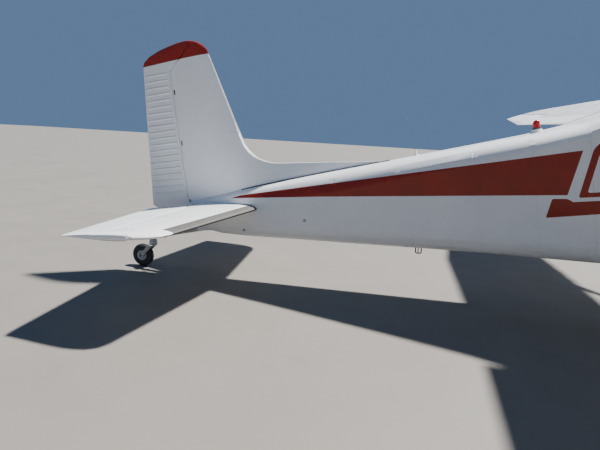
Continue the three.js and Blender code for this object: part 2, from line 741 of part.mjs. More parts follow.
// Columns: radius from the hub, chord, thickness, blade angle in degrees
const BLADE_SECTIONS = [
  [60, 84, 62, 40],
  [200, 120, 38, 36],
  [420, 158, 22, 28],
  [700, 160, 15, 21],
  [920, 140, 11, 17],
  [1015, 108, 8, 15],
  [PROP_RADIUS, 50, 5, 15],
]

function bladeRing([radius, chord, thickness, angle]) {
  const ring = []
  for (let i = 0; i < 12; i += 1) {
    const turn = i / 12 * 2 * Math.PI
    const across = Math.cos(turn) * chord / 2
    const deep = Math.sin(turn) * thickness / 2
    const pitch = angle * DEGREE
    ring.push(at(PROP_STATION + across * Math.sin(pitch) + deep * Math.cos(pitch),
      -across * Math.cos(pitch) + deep * Math.sin(pitch), radius))
  }
  return ring
}

const HUB_RADIUS = 78
const SHAFT_END = SPINNER_BACK + 2

function propeller() {
  const blade = loft(BLADE_SECTIONS.map(bladeRing))
  const other = moved(blade, new THREE.Matrix4().makeRotationX(Math.PI))
  const hub = rod(at(SHAFT_END - PIVOT_GAP, 0, 0), at(-1215, 0, 0), HUB_RADIUS, HUB_RADIUS, 24)
  return moved(joined([blade, other, hub]), new THREE.Matrix4().makeRotationX(PROP_REST))
}

function spinner() {
  const length = SPINNER_BACK - SPINNER_TIP
  const profile = [[0, 0]]
  profile.push([SPINNER_RADIUS, 0])
  for (const [share, radius] of [[0.3, 0.97], [0.55, 0.84], [0.75, 0.64], [0.9, 0.38], [0.97, 0.2]]) {
    profile.push([SPINNER_RADIUS * radius, length * share])
  }
  profile.push([0, length])
  const cone = spun(profile, at(SPINNER_BACK, 0, 0), new THREE.Vector3(1, 0, 0), 28)
  const room = joined([
    rod(at(-1000, 0, 0), at(-1222, 0, 0), HUB_RADIUS + SEAT, HUB_RADIUS + SEAT, 24),
    frontPrism([[-52, -300], [52, -300], [52, 300], [-52, 300]], PROP_STATION - 42, PROP_STATION + 42),
  ])
  return cone.subtract(moved(room, new THREE.Matrix4().makeRotationX(PROP_REST)))
}

// Landing gear

const axleWl = TAIL_CONTACT_WL
  + (MAIN_TYRE_RADIUS - (TAIL_CONTACT - MAIN_AXLE) * Math.sin(PARKED_PITCH)) / Math.cos(PARKED_PITCH)
const AXLE_RADIUS = 20

// Columns: station, y, waterline, width, thickness, tilt of the leaf from level in degrees
const LEG_SECTIONS = [
  [640, 380, -420, 125, 24, 45],
  [622, 540, -565, 116, 22, 45],
  [560, 790, -805, 98, 21, 45],
  [480, 1010, axleWl + 62, 86, 20, 50],
  [452, 1052, axleWl + 12, 82, 20, 80],
  [MAIN_AXLE, 1054, axleWl - 42, 80, 20, 90],
]

function gearLeg() {
  const rings = LEG_SECTIONS.map(([station, y, wl, width, thickness, tilt]) => {
    const outward = [Math.cos(tilt * DEGREE), -Math.sin(tilt * DEGREE)]
    const normal = [-outward[1], outward[0]]
    return [[-1, -1], [1, -1], [1, 1], [-1, 1]].map(([a, b]) => at(station + a * width / 2,
      y + b * normal[0] * thickness / 2, wl + b * normal[1] * thickness / 2))
  })
  const axle = rod(at(MAIN_AXLE, 1046, axleWl), at(MAIN_AXLE, MAIN_TRACK_HALF + 66, axleWl), AXLE_RADIUS)
  return loft(rings).subtract(cabinClear).add(axle)
}

function wheelProfile(bore, radius, half, dish) {
  return [[bore, -half], [radius * 0.55, -half + dish], [radius - 10, -half], [radius, -half],
    [radius, half], [radius - 10, half], [radius * 0.55, half - dish], [bore, half], [bore, -half]]
}

function tyreProfile(bore, radius, half) {
  const middle = (bore + radius) / 2
  const shoulder = radius - (radius - bore) * 0.2
  return [[bore, -half * 0.72], [middle, -half], [shoulder, -half * 0.86], [radius * 0.98, -half * 0.5],
    [radius, 0], [radius * 0.98, half * 0.5], [shoulder, half * 0.86], [middle, half],
    [bore, half * 0.72], [bore, -half * 0.72]]
}

const MAIN_RIM = 92
const MAIN_SIDES = 28
const mainHub = at(MAIN_AXLE, MAIN_TRACK_HALF, axleWl)

function mainWheel() {
  return spun(wheelProfile(AXLE_RADIUS + PIVOT_GAP, MAIN_RIM, 58, 22), mainHub, LEFT, MAIN_SIDES)
}

function mainTyre() {
  return spun(tyreProfile(MAIN_RIM + SEAT, MAIN_TYRE_RADIUS, 78), mainHub, LEFT, MAIN_SIDES)
}

// The tailwheel is drawn as it stands: x forward, z up, from its point on the ground.
const standing = new THREE.Matrix4().makeRotationY(PARKED_PITCH)
standing.setPosition(-TAIL_CONTACT, 0, TAIL_CONTACT_WL)
const TAIL_AXLE = new THREE.Vector3(7, 0, TAIL_TYRE_RADIUS)
const KINGPIN_X = 131
const KINGPIN_FOOT = 262
const TAIL_RIM = 52
const TAIL_SIDES = 22
const TAIL_AXLE_RADIUS = 9

function tailSpring() {
  const path = [[5440, 238], [5560, 240], [5900, 226], [6200, 212], [6290, 208]]
  const rings = path.map(([station, wl]) => [[-1, -1], [1, -1], [1, 1], [-1, 1]].map(([a, b]) => {
    return at(station, a * 25, wl + b * 9)
  }))
  const head = rod(new THREE.Vector3(KINGPIN_X, 0, KINGPIN_FOOT), new THREE.Vector3(KINGPIN_X, 0, 348), 27, 27, 20)
  return loft(rings).subtract(tailClear).add(moved(head, standing))
}

function tailFork() {
  const crownTop = KINGPIN_FOOT - PIVOT_GAP
  const crown = rod(new THREE.Vector3(KINGPIN_X, 0, crownTop - 22), new THREE.Vector3(KINGPIN_X, 0, crownTop), 34, 30, 20)
  const arms = [-1, 1].map((side) => {
    const outline = [[-KINGPIN_X - 26, crownTop], [-KINGPIN_X + 34, crownTop], [-TAIL_AXLE.x + 20, TAIL_AXLE.z - 6],
      [-TAIL_AXLE.x, TAIL_AXLE.z - 22], [-TAIL_AXLE.x - 20, TAIL_AXLE.z - 6]]
    const inner = side > 0 ? 44 : -54
    return sidePrism(outline, inner, inner + 10)
  })
  const bridge = block([-KINGPIN_X - 26, -KINGPIN_X + 30], [-54, 54], [crownTop - 11, crownTop])
  const axle = rod(TAIL_AXLE.clone().setY(-58), TAIL_AXLE.clone().setY(58), TAIL_AXLE_RADIUS, TAIL_AXLE_RADIUS, 12)
  return moved(joined([crown, bridge, ...arms, axle]), standing)
}

function tailWheel() {
  return moved(spun(wheelProfile(TAIL_AXLE_RADIUS + PIVOT_GAP, TAIL_RIM, 37, 10), TAIL_AXLE, LEFT, TAIL_SIDES), standing)
}

function tailTyre() {
  return moved(spun(tyreProfile(TAIL_RIM + SEAT, TAIL_TYRE_RADIUS, 34), TAIL_AXLE, LEFT, TAIL_SIDES), standing)
}

// Cabin fittings

function instrumentPanel() {
  const room = bodyLoft(CABIN_SECTIONS, WALL + SEAT, FLOOR)
  const board = sidePrism([[300, -10], [335, -10], [335, 318], [395, 340], [395, 356], [60, 356],
    [60, 340], [300, 318]], -WIDE, WIDE)
  const wheels = [-245, 245].map((y) => {
    const ring = new THREE.TorusGeometry(128, 12, 6, 22)
    const turned = new THREE.Matrix4().makeRotationY(Math.PI / 2).setPosition(at(520, y, 190))
    const rim = moved(solidOf(ring), turned).subtract(block([480, 560], [y - 90, y + 90], [230, 400]))
    return joined([
      rim,
      block([510, 530], [y - 126, y + 126], [176, 204]),
      rod(at(325, y, 190), at(524, y, 190), 14, 14, 10),
    ])
  })
  return joined([room.intersect(board), ...wheels])
}

const SEAT_Y = 252
const FRONT_SEAT = [[905, -120], [905, -25], [1330, -45], [1436, 470], [1526, 452], [1425, -110]]

function frontSeat(y) {
  return sidePrism(softened(FRONT_SEAT, 28), y - 215, y + 215)
}

function seatFrames() {
  const pieces = [block([950, 1450], [-SEAT_Y, SEAT_Y], [FLOOR + SEAT, FLOOR + 20])]
  for (const y of [-SEAT_Y, SEAT_Y]) {
    pieces.push(block([920, 1410], [y - 190, y + 190], [-150, -120 - SEAT]))
    for (const side of [-175, 175]) {
      pieces.push(block([900, 1500], [y + side - 14, y + side + 14], [FLOOR + SEAT, FLOOR + 24]))
      pieces.push(block([940, 975], [y + side - 10, y + side + 10], [FLOOR + 5, -130]))
      pieces.push(block([1350, 1385], [y + side - 10, y + side + 10], [FLOOR + 5, -130]))
    }
    pieces.push(block([900, 930], [y - 185, y + 185], [FLOOR + SEAT, FLOOR + 20]))
    pieces.push(block([960, 990], [Math.min(0, y), Math.max(0, y)], [FLOOR + SEAT, FLOOR + 20]))
  }
  return joined(pieces)
}

function rearSeat() {
  const outline = [[1640, FLOOR - 60], [1620, -140], [1600, -20], [1985, -50], [2050, 420], [2125, 400],
    [2065, -60], [2040, FLOOR - 60]]
  const room = bodyLoft(CABIN_SECTIONS, WALL + SEAT, FLOOR + SEAT)
  return sidePrism(softened(outline, 20), -430, 430).intersect(room)
}

function exhaust() {
  const engineSide = rod(at(-430, -250, -225), at(-420, -250, -300), 30, 30, 12)
  const tail = rod(at(-420, -250, -290), at(-320, -250, -560), 30, 30, 12)
  return engineSide.add(tail).subtract(moved(engine(), new THREE.Matrix4().makeTranslation(0, 0, -SEAT)))
}

function beacon() {
  const profile = [[0, 0], [37, 0], [37, 32], [34, 33], [34, 78], [26, 96], [12, 106], [0, 108]]
  return spun(profile, at(2444, 0, 762), UP, 20).subtract(tailClear)
}

const ANTENNA = 3446

function antenna() {
  const whip = rod(at(ANTENNA, 0, 695), at(ANTENNA + 55, 0, 1108), 4, 2, 6)
  const foot = rod(at(ANTENNA, 0, 670), at(ANTENNA, 0, 716), 18, 12, 12)
  return whip.add(foot).subtract(tailClear)
}

// The aircraft, put together

const FINISHES = {
  whitePaint: [0xf2f2ee, 0.25, 0.0],
  redPaint: [0x9c2a1c, 0.3, 0.0],
  clearPanel: [0xb9cdd6, 0.05, 0.0],
  darkTrim: [0x26282b, 0.7, 0.0],
  seatCloth: [0x5b5f66, 0.9, 0.0],
  castMetal: [0x8b8d90, 0.5, 0.8],
  polished: [0xc9ccd0, 0.2, 0.9],
  blackRubber: [0x1c1c1d, 0.85, 0.0],
  redLens: [0xb31326, 0.15, 0.0],
}

const aircraft = new THREE.Group()
aircraft.rotation.y = -PARKED_PITCH

function fit(name, solid, finish) {
  const [color, roughness, metalness] = FINISHES[finish]
  const material = new THREE.MeshStandardMaterial({ color, roughness, metalness })
  const mesh = new THREE.Mesh(geometryOf(solid), material)
  mesh.name = name
  aircraft.add(mesh)
}

function fitPair(name, solid, finish) {
  fit(`${name}_left`, solid, finish)
  fit(`${name}_right`, mirrored(solid), finish)
}

fit('cabin_shell', cabinShell(), 'whitePaint')
fit('tailcone', tailCone(), 'whitePaint')
fit('cowling', cowling(), 'whitePaint')
fit('engine_block', engine(), 'castMetal')
fit('propeller', propeller(), 'polished')
fit('spinner', spinner(), 'whitePaint')
fit('windshield', glassIn(windshieldSide, 0, -WIDE, WIDE), 'clearPanel')
fitPair('rear_window', glassIn(rearWindow, 60, 300, WIDE), 'clearPanel')

const doorHole = sidePrism(softened(doorWindow, 50), 300, WIDE)
fitPair('door', doorPanel(doorSide, 60, doorHinge, DOOR_HINGES).subtract(doorHole), 'whitePaint')
fitPair('door_glass', glassIn(doorWindow, 50, 300, WIDE), 'clearPanel')
fit('baggage_door', doorPanel(baggageSide, 40, baggageHinge, BAGGAGE_HINGES), 'whitePaint')

fit('instrument_panel', instrumentPanel(), 'darkTrim')
fit('front_seat_left', frontSeat(SEAT_Y), 'seatCloth')
fit('front_seat_right', frontSeat(-SEAT_Y), 'seatCloth')
fit('seat_frames', seatFrames(), 'castMetal')
fit('rear_seat', rearSeat(), 'seatCloth')

fitPair('wing', wingPanel(), 'whitePaint')
fitPair('aileron', aileron(), 'whitePaint')
fitPair('flap', flap(), 'whitePaint')
fitPair('strut', strut(), 'whitePaint')

fit('fin', fin(), 'whitePaint')
fit('rudder', rudder(), 'whitePaint')
fitPair('stabilizer', stabilizer(), 'whitePaint')
fit('elevators', elevators(), 'whitePaint')

fitPair('gear_leg', gearLeg(), 'whitePaint')
fitPair('main_wheel', mainWheel(), 'castMetal')
fitPair('main_tyre', mainTyre(), 'blackRubber')
fit('tail_spring', tailSpring(), 'castMetal')
fit('tail_fork', tailFork(), 'castMetal')
fit('tail_wheel', tailWheel(), 'castMetal')
fit('tail_tyre', tailTyre(), 'blackRubber')

fit('exhaust', exhaust(), 'castMetal')
fit('beacon', beacon(), 'redLens')
fit('antenna', antenna(), 'darkTrim')

// Set down on its wheels, with the middle of its length over the origin
aircraft.updateMatrixWorld(true)
const reach = new THREE.Box3().setFromObject(aircraft, true)
const ground = new THREE.Vector3(-TAIL_CONTACT, 0, TAIL_CONTACT_WL).applyMatrix4(aircraft.matrixWorld)
aircraft.position.set(-(reach.min.x + reach.max.x) / 2, 0, -ground.z)
aircraft.updateMatrixWorld(true)

export default aircraft
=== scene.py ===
import math

import bpy
from mathutils import Matrix, Vector


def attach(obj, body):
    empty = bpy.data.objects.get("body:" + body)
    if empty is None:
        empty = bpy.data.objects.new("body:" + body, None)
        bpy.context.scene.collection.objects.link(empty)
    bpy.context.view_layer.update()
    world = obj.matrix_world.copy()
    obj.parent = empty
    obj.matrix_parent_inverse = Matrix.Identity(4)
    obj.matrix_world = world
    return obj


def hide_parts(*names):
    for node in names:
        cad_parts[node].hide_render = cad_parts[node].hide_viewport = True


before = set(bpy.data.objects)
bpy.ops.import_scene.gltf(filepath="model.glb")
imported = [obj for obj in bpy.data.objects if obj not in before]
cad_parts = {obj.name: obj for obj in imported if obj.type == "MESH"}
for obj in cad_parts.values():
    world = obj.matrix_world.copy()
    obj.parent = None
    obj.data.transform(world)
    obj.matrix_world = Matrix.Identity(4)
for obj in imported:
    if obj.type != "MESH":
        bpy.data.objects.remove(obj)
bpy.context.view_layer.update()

# Camera: stands about 4 m to the right of the aircraft and looks at its tail, at the height of
# a person's eye, with a phone's wide lens.
def aim(camera, yaw, pitch, roll):
    forward = Vector((-math.sin(yaw) * math.cos(pitch), math.cos(yaw) * math.cos(pitch), -math.sin(pitch)))
    level_right = Vector((math.cos(yaw), math.sin(yaw), 0))
    level_up = level_right.cross(forward)
    right = math.cos(roll) * level_right + math.sin(roll) * level_up
    up = -math.sin(roll) * level_right + math.cos(roll) * level_up
    turn = Matrix((right, up, -forward)).transposed()
    camera.rotation_mode = "QUATERNION"
    camera.rotation_quaternion = turn.to_quaternion()


bpy.ops.object.select_all(action="DESELECT")
EYE = (-1.0394, -4.277, 1.488)
bpy.ops.object.camera_add(location=EYE)
camera = bpy.context.object
camera.data.sensor_width = 36
camera.data.lens = 27
camera.data.clip_end = 500
aim(camera, yaw=0.2313, pitch=0.1915, roll=0.0581)
bpy.context.scene.camera = camera


# Floor and light: a plain pale studio floor, one distant lamp high over the aircraft's left wing,
# which lights its upper faces, and two weak broad ones that fill the side towards the camera.
def wire(tree, kind, inputs=(), **settings):
    made = tree.nodes.new(kind)
    for key, value in settings.items():
        setattr(made, key, value)
    for key, value in dict(inputs).items():
        socket = made.inputs[key]
        if isinstance(value, bpy.types.NodeSocket):
            tree.links.new(value, socket)
        else:
            socket.default_value = value
    return made


def maths(tree, operation, a, b=0.0, c=0.0):
    return wire(tree, "ShaderNodeMath", {0: a, 1: b, 2: c}, operation=operation).outputs[0]


def grain_of(tree, place, scale, detail=3.0, stretch=None):
    if stretch:
        place = wire(tree, "ShaderNodeMapping", {"Vector": place, "Scale": stretch}).outputs[0]
    return wire(tree, "ShaderNodeTexNoise",
                {"Vector": place, "Scale": scale, "Detail": detail}).outputs["Fac"]


def span_to(tree, value, low, high, from_low=0.3, from_high=0.7):
    return wire(tree, "ShaderNodeMapRange", {0: value, 1: from_low, 2: from_high, 3: low, 4: high}).outputs[0]


def blended(tree, share, first, second):
    return wire(tree, "ShaderNodeMix", {0: share, 6: first, 7: second}, data_type="RGBA").outputs[2]


def finish(name, colour, shade, patch, rough, grain, height, pattern=None, stretch=None, **fixed):
    """A finish with patches of a second shade, uneven gloss and a fine grain in relief."""
    material = bpy.data.materials.new(name)
    material.use_nodes = True
    tree = material.node_tree
    shader = tree.nodes["Principled BSDF"]
    place = wire(tree, "ShaderNodeTexCoord").outputs["Object"]
    share = span_to(tree, grain_of(tree, place, patch, 4.0, stretch), 0.0, 1.0)
    tint = blended(tree, share, (*colour, 1), (*shade, 1))
    if pattern:
        tint = pattern(tree, place, tint)
    tree.links.new(tint, shader.inputs["Base Color"])
    gloss = grain_of(tree, place, patch * 3, 2.0, stretch)
    tree.links.new(span_to(tree, gloss, *rough), shader.inputs["Roughness"])
    relief = wire(tree, "ShaderNodeBump", {"Height": grain_of(tree, place, grain, 2.0, stretch),
                                           "Distance": height, "Strength": 1.0})
    tree.links.new(relief.outputs[0], shader.inputs["Normal"])
    for key, value in fixed.items():
        shader.inputs[key.replace("_", " ")].default_value = value
    return material


bpy.ops.mesh.primitive_plane_add(size=300, location=(0, 0, 0))
floor = bpy.context.object
floor.name = "studio_floor"
floor.data.materials.append(finish("pale_floor", (0.18, 0.168, 0.15), (0.165, 0.153, 0.136), 0.8, (0.6, 0.75),
                                   30, 0.0004))

SUN_WAY = Vector((0.37, 0.3, 0.88))
FILL_TARGET = Vector((0, 0, 0.8))


def lamp_at(kind, place, power, colour, shines_from):
    """A lamp that shines along a direction, given as the way from what it lights to the lamp."""
    bpy.ops.object.light_add(type=kind, location=place)
    lamp = bpy.context.object
    lamp.data.energy = power
    lamp.data.color = colour
    lamp.rotation_mode = "QUATERNION"
    lamp.rotation_quaternion = shines_from.to_track_quat("Z", "Y")
    return lamp


sun = lamp_at("SUN", (5.6, 4.5, 13.2), 13, (1, 0.975, 0.94), SUN_WAY)
sun.data.angle = math.radians(3)
for place, power in [((-7, -9, 6), 6), ((8, -8, 5), 8)]:
    fill = lamp_at("AREA", place, power, (0.6, 0.78, 1), Vector(place) - FILL_TARGET)
    fill.data.size = 8

studio = bpy.data.worlds.new("studio")
bpy.context.scene.world = studio
studio.use_nodes = True
sky = studio.node_tree.nodes["Background"]
sky.inputs["Color"].default_value = (0.34, 0.57, 1.0, 1)
sky.inputs["Strength"].default_value = 0.34


# Rear fuselage: aluminium sheet wrapped round bulkheads and riveted, painted white with brick
# red stripes. Places are drawn level, as station aft of the firewall, y and waterline, in
# metres, and then set down nose-up as the aircraft stands.
PARKED = math.radians(11.5)
FIREWALL = Vector((2.52183, 0, 1.38342))
SET_DOWN = Matrix.Translation(FIREWALL) @ Matrix.Rotation(-PARKED, 4, "Y")
LEVEL = SET_DOWN.inverted()
TURN_DOWN, TURN_LEVEL = SET_DOWN.to_3x3(), LEVEL.to_3x3()
WHITE = (0.8, 0.81, 0.82)
WHITE_SHADE = (0.73, 0.745, 0.765)
RED = (0.27, 0.018, 0.006)
SIDES = (("left", 1), ("right", -1))
FORWARD, AFTWARD = Vector((1, 0, 0)), Vector((-1, 0, 0))
SKYWARD, DOWN = Vector((0, 0, 1)), Vector((0, 0, -1))
LEFT = Vector((0, 1, 0))


def at(station, y, waterline):
    return Vector((-station, y, waterline))


def inward(side):
    """The way from one side of the aircraft to its middle."""
    return Vector((0, -side, 0))


def drawn(tree, place):
    """Station, y and waterline of the point being shaded, in metres."""
    offset = Matrix.Rotation(PARKED, 4, "Y") @ -FIREWALL
    level = wire(tree, "ShaderNodeMapping", {"Vector": place, "Location": offset, "Rotation": (0, PARKED, 0)})
    parts = wire(tree, "ShaderNodeSeparateXYZ", {0: level.outputs[0]}).outputs
    return maths(tree, "MULTIPLY", parts[0], -1.0), parts[1], parts[2]


def below(tree, along, across, first, second):
    """How far `across` is under the straight line through two (along, across) points."""
    slope = (second[1] - first[1]) / (second[0] - first[0])
    line = maths(tree, "MULTIPLY_ADD", along, slope, first[1] - slope * first[0])
    return maths(tree, "SUBTRACT", line, across)


def least(tree, values, radius=0.0):
    kept = values[0]
    for value in values[1:]:
        kept = maths(tree, "SMOOTH_MIN" if radius else "MINIMUM", kept, value, radius)
    return kept


def flipped(tree, value):
    return maths(tree, "MULTIPLY", value, -1.0)


def body_stripes(tree, place, white):
    station, _, height = drawn(tree, place)
    raked = flipped(tree, below(tree, height, station, (0.599, 2.252), (0.272, 2.37)))
    upper = [below(tree, station, height, *ends)
             for ends in [((2.252, 0.593), (5.1, 0.5515)), ((5.16, 0.5505), (5.26, 0.536))]]
    lower = [flipped(tree, below(tree, station, height, *ends))
             for ends in [((2.37, 0.268), (4.35, 0.458)), ((4.35, 0.458), (5.24, 0.532))]]
    spear = least(tree, [raked, *upper, maths(tree, "MAXIMUM", *lower)])
    keel = flipped(tree, below(tree, station, height, (2.163, 0.102), (-0.72, 0.079)))
    tail_edge = below(tree, height, station, (0.25, 2.475), (0.13, 2.518))
    deck = below(tree, station, height, (2.327, 0.211), (-0.72, 0.08))
    band = least(tree, [keel, tail_edge, deck], 0.03)
    step = flipped(tree, below(tree, height, station, (0.24, 2.372), (0.211, 2.335)))
    high = below(tree, station, height, (2.475, 0.25), (2.375, 0.24))
    corner = least(tree, [keel, tail_edge, high, step], 0.02)
    loops = []
    for rear, sill, brow, slant in [
            ([(0.274, 2.289), (0.601, 2.184)], [(2.2, 0.235), (-0.95, 0.093)],
             [(1.7, 0.712), (2.0, 0.712)], [(2.184, 0.601), (2.06, 0.69)]),
            ([(0.311, 2.227), (0.526, 2.158)], [(2.2, 0.27), (-0.95, 0.108)],
             [(1.7, 0.668), (2.0, 0.668)], [(2.15, 0.556), (2.03, 0.645)])]:
        edges = [below(tree, height, station, *rear), flipped(tree, below(tree, station, height, *sill)),
                 below(tree, station, height, *brow), below(tree, station, height, *slant)]
        loops.append(least(tree, edges, 0.03))
    outline = least(tree, [loops[0], flipped(tree, loops[1]), maths(tree, "ADD", station, 0.95)])
    painted = maths(tree, "MAXIMUM", maths(tree, "MAXIMUM", spear, outline),
                    maths(tree, "MAXIMUM", band, corner))
    mask = maths(tree, "GREATER_THAN", painted, 0.0)
    worn = span_to(tree, grain_of(tree, place, 5.0), 0.85, 1.1)
    red = wire(tree, "ShaderNodeCombineColor", {i: maths(tree, "MULTIPLY", worn, RED[i]) for i in range(3)})
    return blended(tree, mask, white, red.outputs[0])


def dusty(tree, place, white):
    """Grime low on the body in faint streaks, and a rust halo round the drain under the tail."""
    station, y, height = drawn(tree, place)
    low = span_to(tree, height, 1.0, 0.0, -0.48, 0.05)
    streaks = grain_of(tree, place, 6.0, 4.0, (0.6, 3.0, 5.0))
    share = maths(tree, "MULTIPLY", span_to(tree, streaks, 0.0, 0.45, 0.45, 0.75), low)
    soiled = blended(tree, share, white, (0.4, 0.37, 0.33, 1))
    from_drain = wire(tree, "ShaderNodeVectorMath", {0: place, 1: SET_DOWN @ at(5.173, -0.128, 0.2)},
                      operation="DISTANCE").outputs["Value"]
    halo = maths(tree, "MULTIPLY", span_to(tree, from_drain, 0.8, 0.0, 0.008, 0.024),
                 span_to(tree, grain_of(tree, place, 90.0), 0.2, 1.0))
    return blended(tree, halo, soiled, (0.3, 0.12, 0.05, 1))


def pick(*pieces):
    if bpy.context.object and bpy.context.object.mode != "OBJECT":
        bpy.ops.object.mode_set(mode="OBJECT")
    bpy.ops.object.select_all(action="DESELECT")
    for piece in pieces:
        piece.select_set(True)
    bpy.context.view_layer.objects.active = pieces[0]


def edit(piece, mode="FACE", select="SELECT"):
    pick(piece)
    bpy.ops.object.mode_set(mode="EDIT")
    bpy.ops.mesh.select_mode(type=mode)
    bpy.ops.mesh.select_all(action=select)


def leave():
    bpy.ops.object.mode_set(mode="OBJECT")


def cut_all(place, outward, **settings):
    """Cuts the whole mesh in edit mode by a plane, given in the aircraft's own place."""
    bpy.ops.mesh.select_all(action="SELECT")
    bpy.ops.mesh.bisect(plane_co=place, plane_no=outward, **settings)


def face_outwards(piece):
    edit(piece)
    bpy.ops.mesh.normals_make_consistent(inside=False)
    leave()


def copied(piece, name):
    made = bpy.data.objects.new(name, piece.data.copy())
    bpy.context.scene.collection.objects.link(made)
    made.data.materials.clear()
    return made


def skin_of(node, name):
    """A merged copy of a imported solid, to be worked on and shown in its place."""
    piece = copied(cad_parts[node], name)
    edit(piece)
    bpy.ops.mesh.remove_doubles(threshold=0.00002)
    bpy.ops.mesh.customdata_custom_splitnormals_clear()
    bpy.ops.mesh.dissolve_limited(angle_limit=math.radians(0.4))
    leave()
    return piece


def with_modifier(piece, kind, **settings):
    pick(piece)
    made = piece.modifiers.new(kind.lower(), kind)
    for key, value in settings.items():
        setattr(made, key, value)
    bpy.ops.object.modifier_apply(modifier=made.name)
    return piece


def smoothed(piece, degrees=32):
    pick(piece)
    bpy.ops.object.shade_smooth_by_angle(angle=math.radians(degrees))
    return with_modifier(piece, "WEIGHTED_NORMAL", keep_sharp=True, weight=50)


def fitted(piece, material, body, slot, *nodes):
    if material:
        piece.data.materials.clear()
        piece.data.materials.append(material)
    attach(piece, body)
    if nodes:
        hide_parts(*nodes)
    return piece


def applied(piece):
    """Moves a piece's place, turn and scale into its mesh."""
    pick(piece)
    bpy.ops.object.transform_apply(location=True, rotation=True, scale=True)
    return piece


def set_down(piece, name, degrees=32):
    """Ends the modelling of a piece drawn level: places it, faces it outwards and smooths it."""
    piece.name = name
    piece.matrix_world = SET_DOWN @ piece.matrix_world
    applied(piece)
    edit(piece)
    bpy.ops.mesh.remove_doubles(threshold=0.00001)
    bpy.ops.mesh.normals_make_consistent(inside=False)
    leave()
    bpy.ops.object.shade_smooth_by_angle(angle=math.radians(degrees))
    return piece


def touching(piece, start, direction):
    """Where a line from a level point meets a piece, and the piece's normal there, both level."""
    hit, place, normal, _ = piece.ray_cast(SET_DOWN @ start, (TURN_DOWN @ direction).normalized())
    if not hit:
        return None
    return LEVEL @ place, (TURN_LEVEL @ normal).normalized()


def facing(place, normal, along=None):
    """A turn and move that stands a piece drawn up along z on a surface, its x along a direction."""
    up = normal.normalized()
    ahead = (along or FORWARD) if abs(up.x) < 0.95 or along else LEFT
    ahead = (ahead - up * ahead.dot(up)).normalized()
    side = up.cross(ahead)
    turn = Matrix((ahead, side, up)).transposed().to_4x4()
    return Matrix.Translation(place) @ turn


def studded(name, master, spots):
    """One piece made of the same small shape at every spot, with the shape itself used up."""
    points = [v.co.copy() for v in master.data.vertices]
    faces = [list(face.vertices) for face in master.data.polygons]
    all_points = []
    all_faces = []
    for spot in spots:
        start = len(all_points)
        all_points.extend(spot @ p for p in points)
        all_faces.extend([start + i for i in face] for face in faces)
    mesh = bpy.data.meshes.new(name)
    mesh.from_pydata(all_points, [], all_faces)
    piece = bpy.data.objects.new(name, mesh)
    bpy.context.scene.collection.objects.link(piece)
    bpy.data.objects.remove(master)
    return set_down(piece, name, 50)


def dome(radius, height, sides=8):
    """A rivet or screw head: the upper part of a flattened ball."""
    bpy.ops.mesh.primitive_uv_sphere_add(segments=sides, ring_count=6, radius=radius)
    head = bpy.context.object
    edit(head)
    bpy.ops.transform.resize(value=(1, 1, height / radius))
    bpy.ops.mesh.bisect(plane_co=(0, 0, -height * 0.2), plane_no=(0, 0, 1), clear_inner=True, use_fill=True)
    leave()
    return head


def row_round(piece, station, count, low=-100, high=100, shift=0.0):
    """Spots evenly round a body at one station, between two angles up from level, on both sides."""
    spots = []
    middle = 0.2 + 0.06 * station if station > 2.19 else 0.1
    for i in range(count):
        angle = math.radians(low + (high - low) * i / (count - 1))
        for side in (1, -1):
            outward = Vector((0, side * math.cos(angle), math.sin(angle)))
            found = touching(piece, at(station + shift, 0, middle) + outward * 1.2, -outward)
            if found:
                spots.append(facing(*found))
    return spots


def row_along(piece, start, end, gap, look):
    """Spots along a line of level points, laid on a piece by looking along a direction."""
    count = max(2, round((end - start).length / gap))
    spots = []
    for i in range(count + 1):
        found = touching(piece, start.lerp(end, i / count), look)
        if found:
            spots.append(facing(*found))
    return spots


def cut_strip(piece, name, cuts, lift, thick=0.0008):
    """A strip of a piece's own surface between cuts, each a level point and outward normal."""
    strip = copied(piece, name)
    edit(strip)
    for place, outward in cuts:
        cut_all(SET_DOWN @ place, TURN_DOWN @ Vector(outward), clear_outer=True)
    bpy.ops.mesh.select_all(action="SELECT")
    bpy.ops.transform.shrink_fatten(value=lift)
    leave()
    face_outwards(with_modifier(strip, "SOLIDIFY", thickness=thick, offset=1.0))
    return smoothed(strip)


def joined(name, pieces):
    pick(*pieces)
    if len(pieces) > 1:
        bpy.ops.object.join()
    pieces[0].name = name
    return pieces[0]


def assembled(name, pieces, degrees, material, body, slot, *nodes):
    """Joins pieces drawn level, sets them down and fits what they make to its body."""
    return fitted(set_down(joined(name, pieces), name, degrees), material, body, slot, *nodes)


def hung_on(piece, place, normal, along=None):
    """Stands a piece drawn up along z on a surface."""
    piece.matrix_world = facing(place, normal, along)
    return piece


def rounded(piece, width, segments, degrees):
    """Bevels the edges that are sharper than an angle."""
    return with_modifier(piece, "BEVEL", width=width, segments=segments, limit_method="ANGLE",
                         angle_limit=math.radians(degrees))


def edit_faces(piece, wanted):
    """Opens a piece in edit mode with the faces selected for which a test holds."""
    edit(piece, select="DESELECT")
    leave()
    for face in piece.data.polygons:
        face.select = wanted(face)
    bpy.ops.object.mode_set(mode="EDIT")


def between_stations(front, rear):
    """Cuts that keep what lies between two stations."""
    return [(at(front, 0, 0), (1, 0, 0)), (at(rear, 0, 0), (-1, 0, 0))]


def between_sides(side, inner, outer):
    """Cuts that keep what lies between two distances from the middle, on one side."""
    return [(at(0, side * inner, 0), (0, -side, 0)), (at(0, side * outer, 0), (0, side, 0))]


def between_levels(low, high):
    """Cuts that keep what lies between two waterlines."""
    return [(at(0, 0, low), (0, 0, -1)), (at(0, 0, high), (0, 0, 1))]


def ring_of(piece, name, station, half, lift, thick=0.0008):
    return cut_strip(piece, name, between_stations(station - half, station + half), lift, thick)


